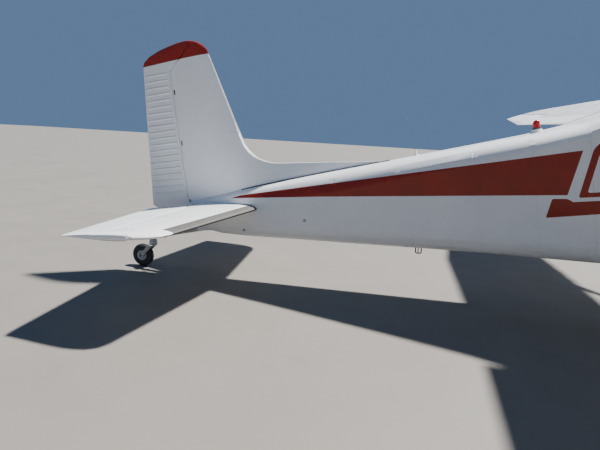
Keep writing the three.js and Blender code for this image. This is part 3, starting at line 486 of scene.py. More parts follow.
def chain(points):
    """A line of edges through points, drawn from one corner by extruding it."""
    points = [Vector(p) for p in points]
    bpy.ops.mesh.primitive_plane_add(size=0.002, location=points[0])
    piece = bpy.context.object
    edit(piece, "VERT")
    bpy.ops.mesh.merge(type="CENTER")
    for near, far in zip(points, points[1:]):
        bpy.ops.mesh.extrude_vertices_move(TRANSFORM_OT_translate={"value": far - near})
    leave()
    return applied(piece)


def hose(points, radius, sides=8, wall=0.0):
    """A round bar through points, its ends closed, or an open tube where a wall is given."""
    piece = chain(points)
    pick(piece)
    bpy.ops.object.convert(target="CURVE")
    piece = bpy.context.object
    piece.data.bevel_depth = radius
    piece.data.bevel_resolution = max(0, sides // 4 - 1)
    piece.data.use_fill_caps = not wall
    bpy.ops.object.convert(target="MESH")
    piece = bpy.context.object
    if wall:
        face_outwards(piece)
        with_modifier(piece, "SOLIDIFY", thickness=wall, offset=-1.0)
    return piece


def turned(profile, steps=32, axis=(0, 0, 1), centre=(0, 0, 0)):
    """A profile of (radius, height) spun about the z axis, then stood along an axis."""
    piece = chain([(radius, 0, height) for radius, height in profile])
    edit(piece, "VERT")
    bpy.ops.mesh.spin(steps=steps, angle=2 * math.pi, center=(0, 0, 0), axis=(0, 0, 1))
    bpy.ops.mesh.select_all(action="SELECT")
    bpy.ops.mesh.remove_doubles(threshold=0.00002)
    bpy.ops.mesh.normals_make_consistent(inside=False)
    leave()
    upright = Vector(axis).to_track_quat("Z", "Y").to_matrix().to_4x4()
    piece.matrix_world = Matrix.Translation(centre) @ upright
    return applied(piece)


def block(size, place, bevel=0.0, segments=2):
    """A block at its size and place, its edges rounded."""
    bpy.ops.mesh.primitive_cube_add(size=1, location=place)
    piece = bpy.context.object
    piece.scale = size
    applied(piece)
    if bevel:
        edit(piece, "EDGE")
        bpy.ops.mesh.bevel(offset=bevel, segments=segments, affect="EDGES")
        leave()
    return piece


def plate(outline, thick, bevel=0.0, segments=2):
    """A flat outline of level points, filled and given its thickness along its own normal."""
    piece = chain(list(outline) + [outline[0]])
    edit(piece, "VERT")
    bpy.ops.mesh.remove_doubles(threshold=0.00002)
    bpy.ops.mesh.edge_face_add()
    leave()
    with_modifier(piece, "SOLIDIFY", thickness=thick, offset=0.0)
    return rounded(piece, bevel, segments, 40) if bevel else piece


livery = finish("striped_enamel", WHITE, WHITE_SHADE, 1.7, (0.2, 0.33), 900, 0.00002,
                lambda tree, place, white: body_stripes(tree, place, dusty(tree, place, white)),
                Coat_Weight=0.08, Coat_Roughness=0.1, Specular_IOR_Level=0.35)
sealant = finish("dark_sealant", (0.035, 0.035, 0.038), (0.06, 0.06, 0.06), 30, (0.6, 0.8), 600, 0.0002)
plain_white = finish("white_enamel", WHITE, WHITE_SHADE, 1.3, (0.2, 0.33), 900, 0.00002, Coat_Weight=0.2,
                     Coat_Roughness=0.08)

SAG = [(1.3, 0.0), (2.2, 0.024), (3.2, 0.027), (3.7, 0.032), (4.6, 0.042), (5.2, 0.053), (5.45, 0.048),
       (5.75, 0.0)]
WAIST_STATION = 2.2
SIDE_LINE, BELLY_LINE = (-0.17, 0.196), (-0.287, 0.16)


def deeper(piece, stations):
    """Lowers a skin's belly by the (station, depth) table, fading out towards its sides."""
    edit(piece)
    for station in stations:
        cut_all(SET_DOWN @ at(station, 0, 0), TURN_DOWN @ FORWARD)
    leave()
    for vertex in piece.data.vertices:
        level = LEVEL @ vertex.co
        station = -level.x
        side = SIDE_LINE[0] + SIDE_LINE[1] * max(0, station - WAIST_STATION)
        belly = BELLY_LINE[0] + BELLY_LINE[1] * (station - WAIST_STATION)
        share = min(1, max(0, (side - level.z) / (side - belly)))
        for (s0, d0), (s1, d1) in zip(SAG, SAG[1:]):
            if s0 <= station <= s1:
                level.z -= (d0 + (d1 - d0) * (station - s0) / (s1 - s0)) * share * share * (3 - 2 * share)
                vertex.co = SET_DOWN @ level
    edit(piece)
    bpy.ops.mesh.quads_convert_to_tris()
    leave()
    return piece


rear_body = smoothed(deeper(skin_of("tailcone", "rear_fuselage_skin"), (3.2, 3.7, 4.6, 5.2, 5.45)))
fitted(rear_body, livery, "airframe", "white_paint", "tailcone")

FRAMES = [2.582, 3.0, 3.62, 4.2, 4.65, 5.06]
RIVET, SMALL_RIVET = (0.0032, 0.0014), (0.003, 0.0013)
laps = [ring_of(rear_body, f"lap_{i}", s, 0.022, 0.0001, 0.0004) for i, s in enumerate(FRAMES)]
fitted(joined("frame_lap_strips", laps), livery, "airframe", "white_paint")
# Hairline strips at the first laps carry painted shadow: grey over the white paint and red over the stripes,
# for the shade at the edges of the overlapped sheets.
seam_shadow_paint = finish("seam_shadow", (0.6, 0.61, 0.63), (0.5, 0.51, 0.53), 20, (0.5, 0.7), 600, 0.0001,
                    body_stripes)
shades = []
for i, station in enumerate([2.2015] + FRAMES[:2]):
    shades.append(ring_of(rear_body, f"shade_{i}", station, 0.0008, 0.0005, 0.0004))
fitted(joined("skin_lap_shadow_lines", shades), seam_shadow_paint, "airframe", "dark_trim")

rivets = []
for station in FRAMES + [2.22, 5.72]:
    for shift in (0.011, -0.011):
        rivets += row_round(rear_body, station, 30 if station < 4 else 22, -85, 85, shift)
for (s0, w0), (s1, w1) in [((2.21, 0.15), (5.7, 0.4)), ((2.21, 0.605), (5.1, 0.5)),
                           ((2.21, -0.16), (5.62, 0.33))]:
    for side in (1, -1):
        rivets += row_along(rear_body, at(s0, side * 0.8, w0), at(s1, side * 0.8, w1), 0.045, inward(side))
fitted(studded("rear_fuselage_rivets", dome(*RIVET), rivets), livery, "airframe", "white_paint")

# Small fittings on the rear fuselage: a drain grommet and a static port on each side, and under
# the belly a bent rod loop that stands on two pads.
bare_steel = finish("bare_steel", (0.36, 0.355, 0.34), (0.22, 0.2, 0.18), 25, (0.3, 0.5), 500, 0.0002,
                    Metallic=0.9)
rubber = finish("black_rubber", (0.022, 0.022, 0.023), (0.04, 0.039, 0.037), 14, (0.65, 0.85), 700, 0.0003)
GROMMET = [(0.0, 0.0008), (0.0045, 0.001), (0.0052, 0.003), (0.0085, 0.003), (0.01, 0.0), (0.0, -0.001)]
PORT = [(0.0022, -0.001), (0.0022, 0.0012), (0.013, 0.0018), (0.0155, 0.0), (0.0155, -0.001)]


def on_both_sides(profile, steps, station, out, waterline):
    """A turned fitting on each side of the rear fuselage, found by looking in from further out."""
    return [hung_on(turned(profile, steps), *touching(rear_body, at(station, side * out, waterline),
                                                      inward(side))) for side in (1, -1)]


grommets = on_both_sides(GROMMET, 16, 5.173, 0.4, 0.204)
assembled("tail_drain_grommets", grommets, 32, rubber, "airframe", "black_rubber")
ports = on_both_sides(PORT, 20, 4.518, 0.5, 0.248)
assembled("static_ports", ports, 32, bare_steel, "airframe", "bare_metal")

bend = [(-0.027, 0, -0.004), (-0.027, 0, 0.052), (-0.025, 0, 0.06), (-0.018, 0, 0.066), (0.0, 0, 0.067),
        (0.016, 0, 0.066), (0.022, 0, 0.06), (0.024, 0, 0.052), (0.024, 0, -0.004)]
loop = [hose(bend, 0.0055, 8), hose([(-0.004, 0, -0.004), (-0.004, 0, 0.066)], 0.0045, 8),
        block((0.03, 0.03, 0.012), (-0.03, 0, 0.004), 0.003),
        block((0.034, 0.03, 0.012), (0.022, 0, 0.004), 0.003)]
loop = hung_on(joined("belly_loop", loop), *touching(rear_body, at(3.508, -0.1, -0.6), SKYWARD))
assembled("belly_loop", [loop], 32, sealant, "airframe", "dark_trim")

# Fin seat: a dark bead of sealant on both sides, along the line where the fin and its fillet
# stand on the turtle deck. Its dark colour also paints the shadow along the fillet's edge.
beads = []
FILLET_HALF = [(3.69, 0.0135), (3.9, 0.019), (4.3, 0.0312), (4.757, 0.0432), (5.0, 0.0492), (5.16, 0.0528)]
for side in (1, -1):
    line = []
    for station, half in FILLET_HALF:
        found = touching(rear_body, at(station, side * (half + 0.003), 1.2), DOWN)
        line.append(found[0] + SKYWARD * 0.003)
    beads.append(hose(line, 0.0065, 8))
assembled("fin_seat_sealant_and_shadow", beads, 32, sealant, "airframe", "dark_trim")


# Beacon: a crimson glass dome held by a dark ring on a white cast base, on top of the rear
# fuselage. Behind it stands a whip aerial, a steel rod screwed into a moulded foot.
def lens(name, colour, shade, patch, rough, clearness):
    return finish(name, colour, shade, patch, rough, 300, 0.0001, Transmission_Weight=clearness, IOR=1.45)


beacon_glass = lens("beacon_glass", (0.42, 0.006, 0.01), (0.32, 0.004, 0.008), 30, (0.08, 0.16), 0.25)
BEACON_FOOT = at(2.444, 0, 0.762)
glass = turned([(0, 0.108), (0.01, 0.1066), (0.019, 0.1015), (0.0255, 0.092), (0.0285, 0.08), (0.028, 0.078),
                (0.0298, 0.068), (0.0293, 0.066), (0.0306, 0.056), (0.0302, 0.054), (0.031, 0.04), (0, 0.04)],
               28, (0, 0, 1), BEACON_FOOT)
assembled("beacon_glass", [glass], 35, beacon_glass, "airframe", "red_lens", "beacon")
ring = turned([(0.0305, 0.042), (0.035, 0.042), (0.0362, 0.036), (0.0362, 0.031), (0.0345, 0.029), (0, 0.029),
               (0, 0.034), (0.0305, 0.034), (0.0305, 0.042)], 28, (0, 0, 1), BEACON_FOOT)
assembled("beacon_clamp_ring", [ring], 30, sealant, "airframe", "dark_trim")
base = turned([(0, 0.03), (0.0385, 0.03), (0.041, 0.026), (0.047, 0.012), (0.0545, 0.002), (0.056, -0.008),
               (0, -0.008)], 32, (0, 0, 1), BEACON_FOOT)
assembled("beacon_base", [base], 35, plain_white, "airframe", "white_paint")

AERIAL_FOOT = touching(rear_body, at(3.446, 0, 1.5), DOWN)[0]
AERIAL_TIP = at(3.501, 0, 1.107)
reach = (AERIAL_TIP - AERIAL_FOOT).length
whip = turned([(0, 0.0), (0.003, 0.0), (0.003, 0.06), (0.0021, 0.064), (0.0013, reach - 0.006),
               (0.0026, reach - 0.005), (0.0026, reach - 0.001), (0, reach)], 10, AERIAL_TIP - AERIAL_FOOT,
              AERIAL_FOOT)
assembled("whip_aerial_rod", [whip], 40, bare_steel, "airframe", "bare_metal", "antenna")
socket = turned([(0, -0.006), (0.026, -0.006), (0.0255, 0.003), (0.013, 0.01), (0.0085, 0.026),
                 (0.008, 0.044), (0.005, 0.048), (0, 0.048)], 20, AERIAL_TIP - AERIAL_FOOT, AERIAL_FOOT)
assembled("whip_aerial_foot", [socket], 35, plain_white, "airframe", "white_paint")


# Cabin: the same sheet skin over door posts and bulkheads. Inside it has pale side panels
# and a headliner, and a carpet on the floor.
def lining_faces(piece, *materials):
    """Paints a shell outside and gives its inner faces their own lining: sides, roof and floor."""
    for material in materials:
        piece.data.materials.append(material)
    for face in piece.data.polygons:
        middle = LEVEL @ face.center
        normal = TURN_LEVEL @ face.normal
        station, y, height = -middle.x, middle.y, middle.z
        faces_in = normal.y * y < -0.0001 or (abs(y) < 0.45 and normal.z * (height - 0.2) < 0)
        within = 0.021 < station < 2.169 and abs(y) < 0.512
        ceiling = height > 0.5 and normal.z < -0.5
        if within and (faces_in or ceiling) and height < -0.3 and normal.z > 0.8:
            face.material_index = 2
        elif within and (faces_in or ceiling or abs(normal.x) > 0.8):
            face.material_index = 1


trim_panel = finish("cabin_lining", (0.42, 0.41, 0.38), (0.36, 0.35, 0.33), 5, (0.6, 0.8), 500, 0.0003)
carpet = finish("cabin_carpet", (0.055, 0.06, 0.07), (0.03, 0.034, 0.04), 60, (0.9, 1.0), 900, 0.0012)
cabin = skin_of("cabin_shell", "cabin_skin")
lining_faces(cabin, livery, trim_panel, carpet)
cabin = smoothed(deeper(cabin, (1.3, 1.5, 1.7, 1.9, 2.05)))
fitted(cabin, None, "airframe", "white_paint", "cabin_shell")

doors = {}
for node, name, body in (("door_left", "cabin_door_left", "left_door"),
                         ("door_right", "cabin_door_right", "right_door"),
                         ("baggage_door", "baggage_lid_skin", "baggage_lid")):
    door = smoothed(skin_of(node, name))
    lining_faces(door, livery, trim_panel, carpet)
    doors[body] = fitted(door, None, body, "white_paint", node)

rivets = []
for side in (1, -1):
    look = inward(side)
    for height, start, end in ((-0.06, 0.03, 0.7), (0.335, 0.03, 0.63), (-0.25, 0.03, 0.7),
                               (-0.18, 1.62, 2.17), (0.3, 1.62, 2.17), (0.665, 1.64, 2.1),
                               (-0.4, 0.03, 2.17)):
        rivets += row_along(cabin, at(start, side, height), at(end, side, height), 0.04, look)
    for station, low, high in ((0.045, -0.38, 0.33), (0.7, -0.38, 0.66), (1.64, -0.32, 0.66),
                               (2.15, -0.25, 0.62), (0.38, -0.38, 0.33)):
        rivets += row_along(cabin, at(station, side, low), at(station, side, high), 0.04, look)
for station in (0.8, 1.3, 1.66, 1.9, 2.16):
    rivets += row_along(cabin, at(station, -0.42, 1.6), at(station, 0.42, 1.6), 0.04, DOWN)
    rivets += row_along(cabin, at(station, -0.42, -1.0), at(station, 0.42, -1.0), 0.05, SKYWARD)
fitted(studded("cabin_rivets", dome(*RIVET, 6), rivets), livery, "airframe", "white_paint")
for side, mark in SIDES:
    rivets = []
    for s0, w0, s1, w1 in ((0.762, -0.3, 0.762, 0.66), (1.575, -0.1, 1.575, 0.66),
                           (0.762, -0.305, 1.48, -0.305), (0.78, 0.305, 1.56, 0.305),
                           (0.78, 0.668, 1.56, 0.668), (0.78, 0.02, 1.56, 0.02)):
        rivets += row_along(doors[f"{side}_door"], at(s0, mark, w0), at(s1, mark, w1), 0.04, inward(mark))
    fitted(studded(f"door_rivets_{side}", dome(*RIVET, 6), rivets), livery, f"{side}_door", "white_paint")

# Door fittings: a plated lever on a round plate and a key lock outside, and a second lever, an
# armrest, a map pocket and a pull strap inside. The baggage lid has one short lever.
plated = finish("plated_metal", (0.62, 0.62, 0.61), (0.45, 0.45, 0.44), 20, (0.14, 0.3), 700, 0.00005,
                Metallic=1.0)
vinyl = finish("padded_vinyl", (0.12, 0.105, 0.09), (0.085, 0.075, 0.065), 12, (0.45, 0.6), 260, 0.0006)


def lever(length):
    post = turned([(0, 0), (0.021, 0), (0.022, 0.002), (0.019, 0.005), (0.009, 0.007), (0.0075, 0.018),
                   (0.009, 0.026), (0, 0.027)], 20)
    bar = block((length, 0.019, 0.009), (length * 0.42, 0, 0.026), 0.0035, 3)
    return joined("lever", [post, bar])


KEY_LOCK = [(0, 0.003), (0.003, 0.003), (0.003, 0.004), (0.0075, 0.004), (0.0105, 0), (0, -0.001)]
for side, mark in SIDES:
    door, look = doors[f"{side}_door"], inward(mark)
    outer = hung_on(lever(0.105), *touching(door, at(1.515, mark, 0.175), look), FORWARD)
    lock = hung_on(turned(KEY_LOCK, 18), *touching(door, at(1.515, mark, 0.105), look), AFTWARD)
    inner = hung_on(lever(0.08), at(1.44, mark * 0.506, 0.15), look, FORWARD)
    assembled(f"door_levers_{side}", [outer, lock, inner], 35, plated, f"{side}_door", "bare_metal")
    rest = block((0.33, 0.036, 0.052), at(1.13, mark * 0.4885, 0.105), 0.014, 4)
    pocket = block((0.42, 0.014, 0.15), at(1.12, mark * 0.4995, -0.15), 0.005, 3)
    strap = block((0.13, 0.008, 0.026), at(0.92, mark * 0.494, 0.215), 0.003, 2)
    assembled(f"door_armrest_{side}", [rest, pocket, strap], 40, vinyl, f"{side}_door", "dark_trim")
latch = hung_on(lever(0.055), *touching(doors["baggage_lid"], at(2.02, 1, 0.03), inward(1)), FORWARD)
assembled("baggage_latch", [latch], 35, plated, "baggage_lid", "bare_metal")

# Boarding steps: a black ribbed plate on a white steel stalk under each door, with a round
# foot on the belly.
stalks, steps = [], []
for mark in (1, -1):
    stalks.append(hose([at(0.9, mark * 0.385, -0.45), at(0.9, mark * 0.43, -0.515),
                        at(0.902, mark * 0.5, -0.552), at(0.905, mark * 0.585, -0.5585)], 0.0125, 12))
    stalks.append(turned([(0, 0.01), (0.02, 0.01), (0.026, 0.004), (0.034, 0.003), (0.035, -0.002),
                          (0, -0.002)], 20, (0, mark * 0.45, -0.9), at(0.9, mark * 0.392, -0.47)))
    steps.append(block((0.15, 0.09, 0.012), at(0.905, mark * 0.58, -0.546), 0.004))
    for i in range(7):
        steps.append(block((0.006, 0.08, 0.004), at(0.845 + 0.02 * i, mark * 0.58, -0.539), 0.0012, 1))
assembled("boarding_step_stalks", stalks, 35, plain_white, "airframe", "white_paint")
assembled("boarding_step_treads", steps, 35, sealant, "airframe", "dark_trim")


# Windows: bent acrylic sheet held in rubber channels, with the slightly uneven gloss of old
# plastic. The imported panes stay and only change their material.
acrylic = finish("window_acrylic", (0.93, 0.96, 0.97), (0.9, 0.94, 0.96), 3, (0.02, 0.06), 300, 0.00001,
                 Transmission_Weight=1.0, IOR=1.12)


def recoated(node, material):
    """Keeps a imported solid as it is, in another material."""
    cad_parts[node].data.materials.clear()
    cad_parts[node].data.materials.append(material)


for node in ["windshield", "rear_window_left", "rear_window_right", "door_glass_left", "door_glass_right"]:
    recoated(node, acrylic)


def pane_rim(node, name, outline, width, body):
    """The channel round a pane: a strip of the pane's own surface along each side of its outline."""
    pane = skin_of(node, "pane")
    middle = sum((Vector(p) for p in outline), Vector((0, 0))) / len(outline)
    strips = []
    for near, far in zip(outline, outline[1:]):
        near, far = Vector(near), Vector(far)
        across = Vector((near.y - far.y, far.x - near.x)).normalized()
        if across.dot(middle - near) < 0:
            across = -across
        spot = near + across * width
        strips.append(cut_strip(pane, name, [(at(spot.x, 0, spot.y), (-across.x, 0, across.y))], 0.0003,
                                0.0018))
    bpy.data.objects.remove(pane)
    return fitted(joined(name, strips), rubber, body, "dark_trim")


DOOR_PANE = [(0.797, 0.335), (1.54, 0.335), (1.54, 0.64), (0.797, 0.64), (0.797, 0.335)]
REAR_PANE = [(1.672, 0.34), (2.112, 0.36), (2.03, 0.64), (1.672, 0.64), (1.672, 0.34)]
for side in ("left", "right"):
    pane_rim(f"door_glass_{side}", f"door_window_channel_{side}", DOOR_PANE, 0.013, f"{side}_door")
    pane_rim(f"rear_window_{side}", f"rear_window_channel_{side}", REAR_PANE, 0.013, "airframe")
pane_rim("windshield", "windshield_foot_channel", [(0.04, 0.404), (0.64, 0.352), (0.668, 0.725),
                                                   (0.505, 0.77)], 0.018, "airframe")


# Seats: sprung cushions in woven cloth, sewn in channels and edged with piping, on a welded
# frame in front and on a plywood pan behind. The cushions are blown up as cloth and then trimmed.
def woven(name, colour, shade, threads):
    """A plain weave: the finish's grain is swapped for crossing threads, with soft patches."""
    material = finish(name, colour, shade, 9, (0.75, 0.92), 500, 0.0005, Sheen_Weight=0.35)
    tree = material.node_tree
    place = next(n for n in tree.nodes if n.type == "TEX_COORD").outputs["Object"]
    bands = [wire(tree, "ShaderNodeTexWave", {"Vector": place, "Scale": threads, "Distortion": 0.4},
                  bands_direction=way).outputs["Fac"] for way in ("X", "Y", "Z")]
    threads_up = maths(tree, "MAXIMUM", maths(tree, "MAXIMUM", bands[0], bands[1]), bands[2])
    bump = next(n for n in tree.nodes if n.type == "BUMP")
    tree.links.new(threads_up, bump.inputs["Height"])
    return material


seat_cloth = woven("seat_cloth", (0.175, 0.105, 0.075), (0.13, 0.08, 0.06), 90)
piping_cloth = woven("piping_cloth", (0.3, 0.26, 0.2), (0.24, 0.2, 0.16), 160)
SWELL = 0.02
THREAD_WAY = 0.008
CLOTH_STEPS = 20
SEAT_MIDDLE = 0.252


def cushion(name, outline, middle, half, seen, creases):
    """A cushion over a side outline, as wide as two halves, with sewn creases on its seen face."""
    pad = plate([at(s, middle, w) for s, w in outline], 2 * half, 0.022, 4)
    with_modifier(pad, "REMESH", mode="VOXEL", voxel_size=0.009)
    group = pad.vertex_groups.new(name="sewn")
    sewn = []
    for vertex in pad.data.vertices:
        facing_up = vertex.normal.dot(seen)
        rim = 0.55 < abs(facing_up) < 0.83 and abs(vertex.normal.y) < 0.9
        seam = facing_up > 0.5 and any(abs((vertex.co - place).dot(way)) < THREAD_WAY
                                       for place, way in creases)
        if rim or seam:
            sewn.append(vertex.index)
    group.add(sewn, 1.0, "REPLACE")
    before = [v.co.copy() for v in pad.data.vertices]
    pick(pad)
    cloth = pad.modifiers.new("cloth", "CLOTH")
    cloth.settings.use_pressure = True
    cloth.settings.uniform_pressure_force = 4
    cloth.settings.effector_weights.gravity = 0
    cloth.settings.vertex_group_mass = "sewn"
    cloth.point_cache.frame_end = CLOTH_STEPS
    for step in range(1, CLOTH_STEPS + 1):
        bpy.context.scene.frame_set(step)
    bpy.ops.object.modifier_apply(modifier="cloth")
    bpy.context.scene.frame_set(1)
    for vertex, start in zip(pad.data.vertices, before):
        move = vertex.co - start
        if move.length > SWELL:
            vertex.co = start + move.normalized() * SWELL
    with_modifier(pad, "SUBSURF", levels=1, render_levels=1)
    return set_down(pad, name, 70)


def piped(corners, radius=0.0042, bend=0.035):
    """A cord bent round level corners, such as the piping round a cushion's rim."""
    line = []
    for i, corner in enumerate(corners):
        back, ahead = corners[i - 1], corners[(i + 1) % len(corners)]
        first = corner + (back - corner).normalized() * bend
        last = corner + (ahead - corner).normalized() * bend
        for share in (0, 0.25, 0.5, 0.75, 1):
            line.append(first.lerp(corner, share).lerp(corner.lerp(last, share), share))
    return hose(line + [line[0]], radius, 8)


def seat_of(name, middle, half, seat, back, channels, node):
    """A seat's two cushions with their sewn channels and piping, standing for a packed seat."""
    pads, edgings = [], []
    for part, outline in (("seat", seat), ("back", back)):
        foot, top_front, top_rear = (at(station, 0, waterline) for station, waterline in outline[:3])
        run = (top_rear - top_front).normalized()
        up = Vector((run.z, 0, -run.x))
        if up.dot(top_front - foot) < 0:
            up = -up
        creases = [(at(0, middle + half * (2 * i / channels - 1), 0), LEFT) for i in range(1, channels)]
        creases.append((top_front.lerp(top_rear, 0.8), run))
        pad = cushion(f"{name}_{part}_cushion", outline, middle, half, up, creases)
        fitted(pad, seat_cloth, "airframe", "seat_cloth", *([node] if part == "seat" else ()))
        pads.append(pad)
        inset = 0.0075
        corners = [p + run * d * inset - up * inset + Vector((0, middle + s * (half - inset), 0))
                   for p, d, s in ((top_front, 1, -1), (top_rear, -1, -1), (top_rear, -1, 1),
                                   (top_front, 1, 1))]
        edgings.append(piped(corners))
    assembled(f"{name}_piping", edgings, 60, piping_cloth, "airframe", "seat_cloth")
    return pads[0]


FRONT_SEAT = [(0.925, -0.108), (0.915, -0.045), (1.325, -0.064), (1.385, -0.108)]
FRONT_BACK = [(1.448, -0.07), (1.362, -0.03), (1.45, 0.45), (1.512, 0.438)]
benches = {}
for side, mark in SIDES:
    benches[side] = seat_of(f"front_{side}", mark * SEAT_MIDDLE, 0.197, FRONT_SEAT, FRONT_BACK, 4,
                            f"front_seat_{side}")
REAR_SEAT = [(1.655, -0.2), (1.63, -0.052), (1.96, -0.08), (2.01, -0.2)]
REAR_BACK = [(2.07, -0.05), (2.008, -0.04), (2.06, 0.4), (2.108, 0.384)]
seat_of("rear", 0, 0.412, REAR_SEAT, REAR_BACK, 6, "rear_seat")

# Seat pans with the front seats' lift bars, and the plywood box under the rear bench, all in
# grey frame paint.
def side_plate(y, outline, thick, bevel):
    """A plate over a side outline of (station, waterline), as thick across the aircraft as given."""
    return plate([at(station, y, waterline) for station, waterline in outline], thick, bevel)


painted_steel = finish("grey_frame_paint", (0.2, 0.21, 0.22), (0.15, 0.155, 0.16), 18, (0.4, 0.55), 500,
                       0.0002, Metallic=0.2)
recoated("seat_frames", painted_steel)
pans = []
for middle in (SEAT_MIDDLE, -SEAT_MIDDLE):
    pans.append(side_plate(middle, [(0.93, -0.119), (0.93, -0.111), (1.405, -0.111), (1.405, -0.119)], 0.39,
                           0.002))
    pans.append(side_plate(middle, [(1.462, -0.1), (1.454, -0.1), (1.517, 0.43), (1.525, 0.43)], 0.39, 0.003))
    pans.append(hose([at(0.93, middle - 0.12, -0.135), at(0.885, middle - 0.12, -0.15),
                      at(0.885, middle + 0.12, -0.15), at(0.93, middle + 0.12, -0.135)], 0.006, 8))
pans.append(side_plate(0, [(1.65, -0.332), (1.65, -0.215), (2.01, -0.215), (2.03, -0.272)], 0.8, 0.006))
pans.append(side_plate(0, [(2.08, -0.06), (2.074, -0.06), (2.112, 0.38), (2.12, 0.38)], 0.8, 0.003))
assembled("seat_pans", pans, 35, painted_steel, "airframe", "bare_metal")

# Lap belts: two straps of grey webbing laid over each front cushion, which meet in a plated
# buckle at its middle.
def ribbon(line, width, thick):
    """A strip as wide as a vector, centred on a line of level points."""
    strip = chain(line)
    edit(strip, "EDGE")
    bpy.ops.transform.translate(value=-width / 2)
    bpy.ops.mesh.extrude_region_move(TRANSFORM_OT_translate={"value": width})
    leave()
    return with_modifier(strip, "SOLIDIFY", thickness=thick, offset=0.0)


webbing = woven("belt_webbing", (0.09, 0.095, 0.1), (0.065, 0.07, 0.075), 240)
belts, buckles = [], []
for side, mark in SIDES:
    middle = mark * SEAT_MIDDLE
    for start, end in ((-0.188, -0.02), (0.188, 0.02)):
        line = []
        for i in range(9):
            y = middle + start + (end - start) * i / 8
            station = 1.3 - 0.1 * i / 8
            found = touching(benches[side], at(station, y, 0.2), DOWN)
            line.append((found[0] if found else at(station, y, -0.05)) + SKYWARD * 0.0025)
        belts.append(ribbon(line, Vector((-0.048, 0, 0)), 0.0018))
    buckles.append(block((0.062, 0.055, 0.012), line[-1] + Vector((0, middle - line[-1].y, 0.006)), 0.003))
assembled("lap_belts", belts, 40, webbing, "airframe", "seat_cloth")
assembled("belt_buckles", buckles, 35, plated, "airframe", "bare_metal")


# Instrument panel: a pressed sheet painted in black wrinkle finish, with round dials, a radio
# stack, switches and push-pull knobs. The two control wheels are part of its solid.
wrinkle = finish("black_wrinkle_paint", (0.022, 0.022, 0.024), (0.035, 0.035, 0.037), 30, (0.5, 0.7), 420,
                 0.0006)
dial_black = finish("dial_face", (0.008, 0.008, 0.009), (0.012, 0.012, 0.013), 50, (0.35, 0.5), 500, 0.00005)
dial_white = finish("dial_markings", (0.7, 0.7, 0.66), (0.62, 0.62, 0.58), 60, (0.5, 0.6), 500, 0.00005)
knob_red = finish("red_knob", (0.36, 0.02, 0.015), (0.28, 0.015, 0.012), 40, (0.3, 0.45), 400, 0.0001)
panel = skin_of("instrument_panel", "instrument_board")
rounded(panel, 0.003, 2, 60)
fitted(smoothed(panel), wrinkle, "airframe", "dark_trim", "instrument_panel")

BOARD = 0.3355
dials = [(y, wl, 1.0) for wl in (0.262, 0.118) for y in (0.385, 0.297, 0.209, 0.121)]
dials += [(y, wl, 0.62) for wl in (0.272, 0.212) for y in (-0.345, -0.405)]
dials += [(-0.15, 0.262, 0.85), (-0.15, 0.118, 0.85)]


def on_board(y, wl, scale=1.0):
    return facing(at(BOARD, y, wl), AFTWARD, LEFT) @ Matrix.Scale(scale, 4)


spots = [on_board(*dial) for dial in dials]
bezel = turned([(0.034, 0.0), (0.034, 0.005), (0.0365, 0.0075), (0.0405, 0.0062), (0.0425, 0.0),
                (0.034, 0.0)], 28)
fitted(studded("dial_bezels", bezel, spots), sealant, "airframe", "dark_trim")
face = turned([(0, 0.0022), (0.0345, 0.0022), (0.0345, 0.0), (0, 0.0)], 28)
fitted(studded("dial_faces", face, spots), dial_black, "airframe", "dark_trim")
marks = []
for i in range(12):
    angle = math.radians(30 * i)
    size = (0.007, 0.0016, 0.0008) if i % 3 == 0 else (0.0045, 0.001, 0.0008)
    tick = block(size, (0.0285, 0, 0.0026))
    edit(tick)
    bpy.ops.transform.rotate(value=-angle, orient_axis="Z", center_override=(0, 0, 0))
    leave()
    marks.append(tick)
needle = block((0.024, 0.002, 0.001), (0.0085, 0, 0.0036))
for vertex in needle.data.vertices:
    if vertex.co.x > 0.015:
        vertex.co.y *= 0.25
marks += [needle, turned([(0, 0.0048), (0.0036, 0.0046), (0.004, 0.0024), (0, 0.0024)], 12)]
fitted(studded("dial_markings", joined("marks", marks), spots), dial_white, "airframe", "white_paint")

radio = []
for wl, tall in ((0.285, 0.042), (0.238, 0.042), (0.15, 0.036), (0.108, 0.036)):
    radio.append(block((0.012, 0.15, tall), at(BOARD + 0.004, -0.01, wl), 0.002))
    for y in (0.052, -0.072):
        radio.append(turned([(0, 0.024), (0.0068, 0.023), (0.0075, 0.012), (0.0095, 0.01), (0.0098, 0.0),
                             (0, 0)], 14, AFTWARD, at(BOARD + 0.009, y, wl)))
assembled("radio_stack", radio, 30, sealant, "airframe", "dark_trim")
windows = [block((0.003, 0.078, 0.016), at(BOARD + 0.0105, -0.01, wl), 0.0008, 1)
           for wl in (0.287, 0.24, 0.152, 0.11)]
assembled("radio_windows", windows, 30, dial_black, "airframe", "dark_trim")

switch = joined("switch", [turned([(0, 0.003), (0.006, 0.003), (0.0065, 0.0), (0, 0)], 12),
                           turned([(0, 0.02), (0.0026, 0.019), (0.002, 0.003), (0, 0.003)], 10)])
spots = [on_board(0.42 - 0.032 * i, 0.03) for i in range(8)]
fitted(studded("panel_switches", switch, spots), plated, "airframe", "bare_metal")
screw = dome(0.0038, 0.0018)
spots = [on_board(y, wl) for y in (-0.45, -0.225, -0.085, 0.07, 0.253, 0.44) for wl in (0.312, 0.062, 0.004)]
fitted(studded("panel_screws", screw, spots), plated, "airframe", "bare_metal")
KNOB = [(0, 0.05), (0.0125, 0.048), (0.0145, 0.042), (0.0125, 0.034), (0.0055, 0.03), (0.0045, 0.0), (0, 0)]
knobs = [turned(KNOB, 20, AFTWARD, at(BOARD, y, 0.028)) for y in (0.045, -0.06)]
assembled("engine_knobs", knobs, 35, sealant, "airframe", "dark_trim")
assembled("mixture_knob", [turned(KNOB, 20, AFTWARD, at(BOARD, -0.008, 0.028))], 35, knob_red, "airframe",
          "dark_trim")
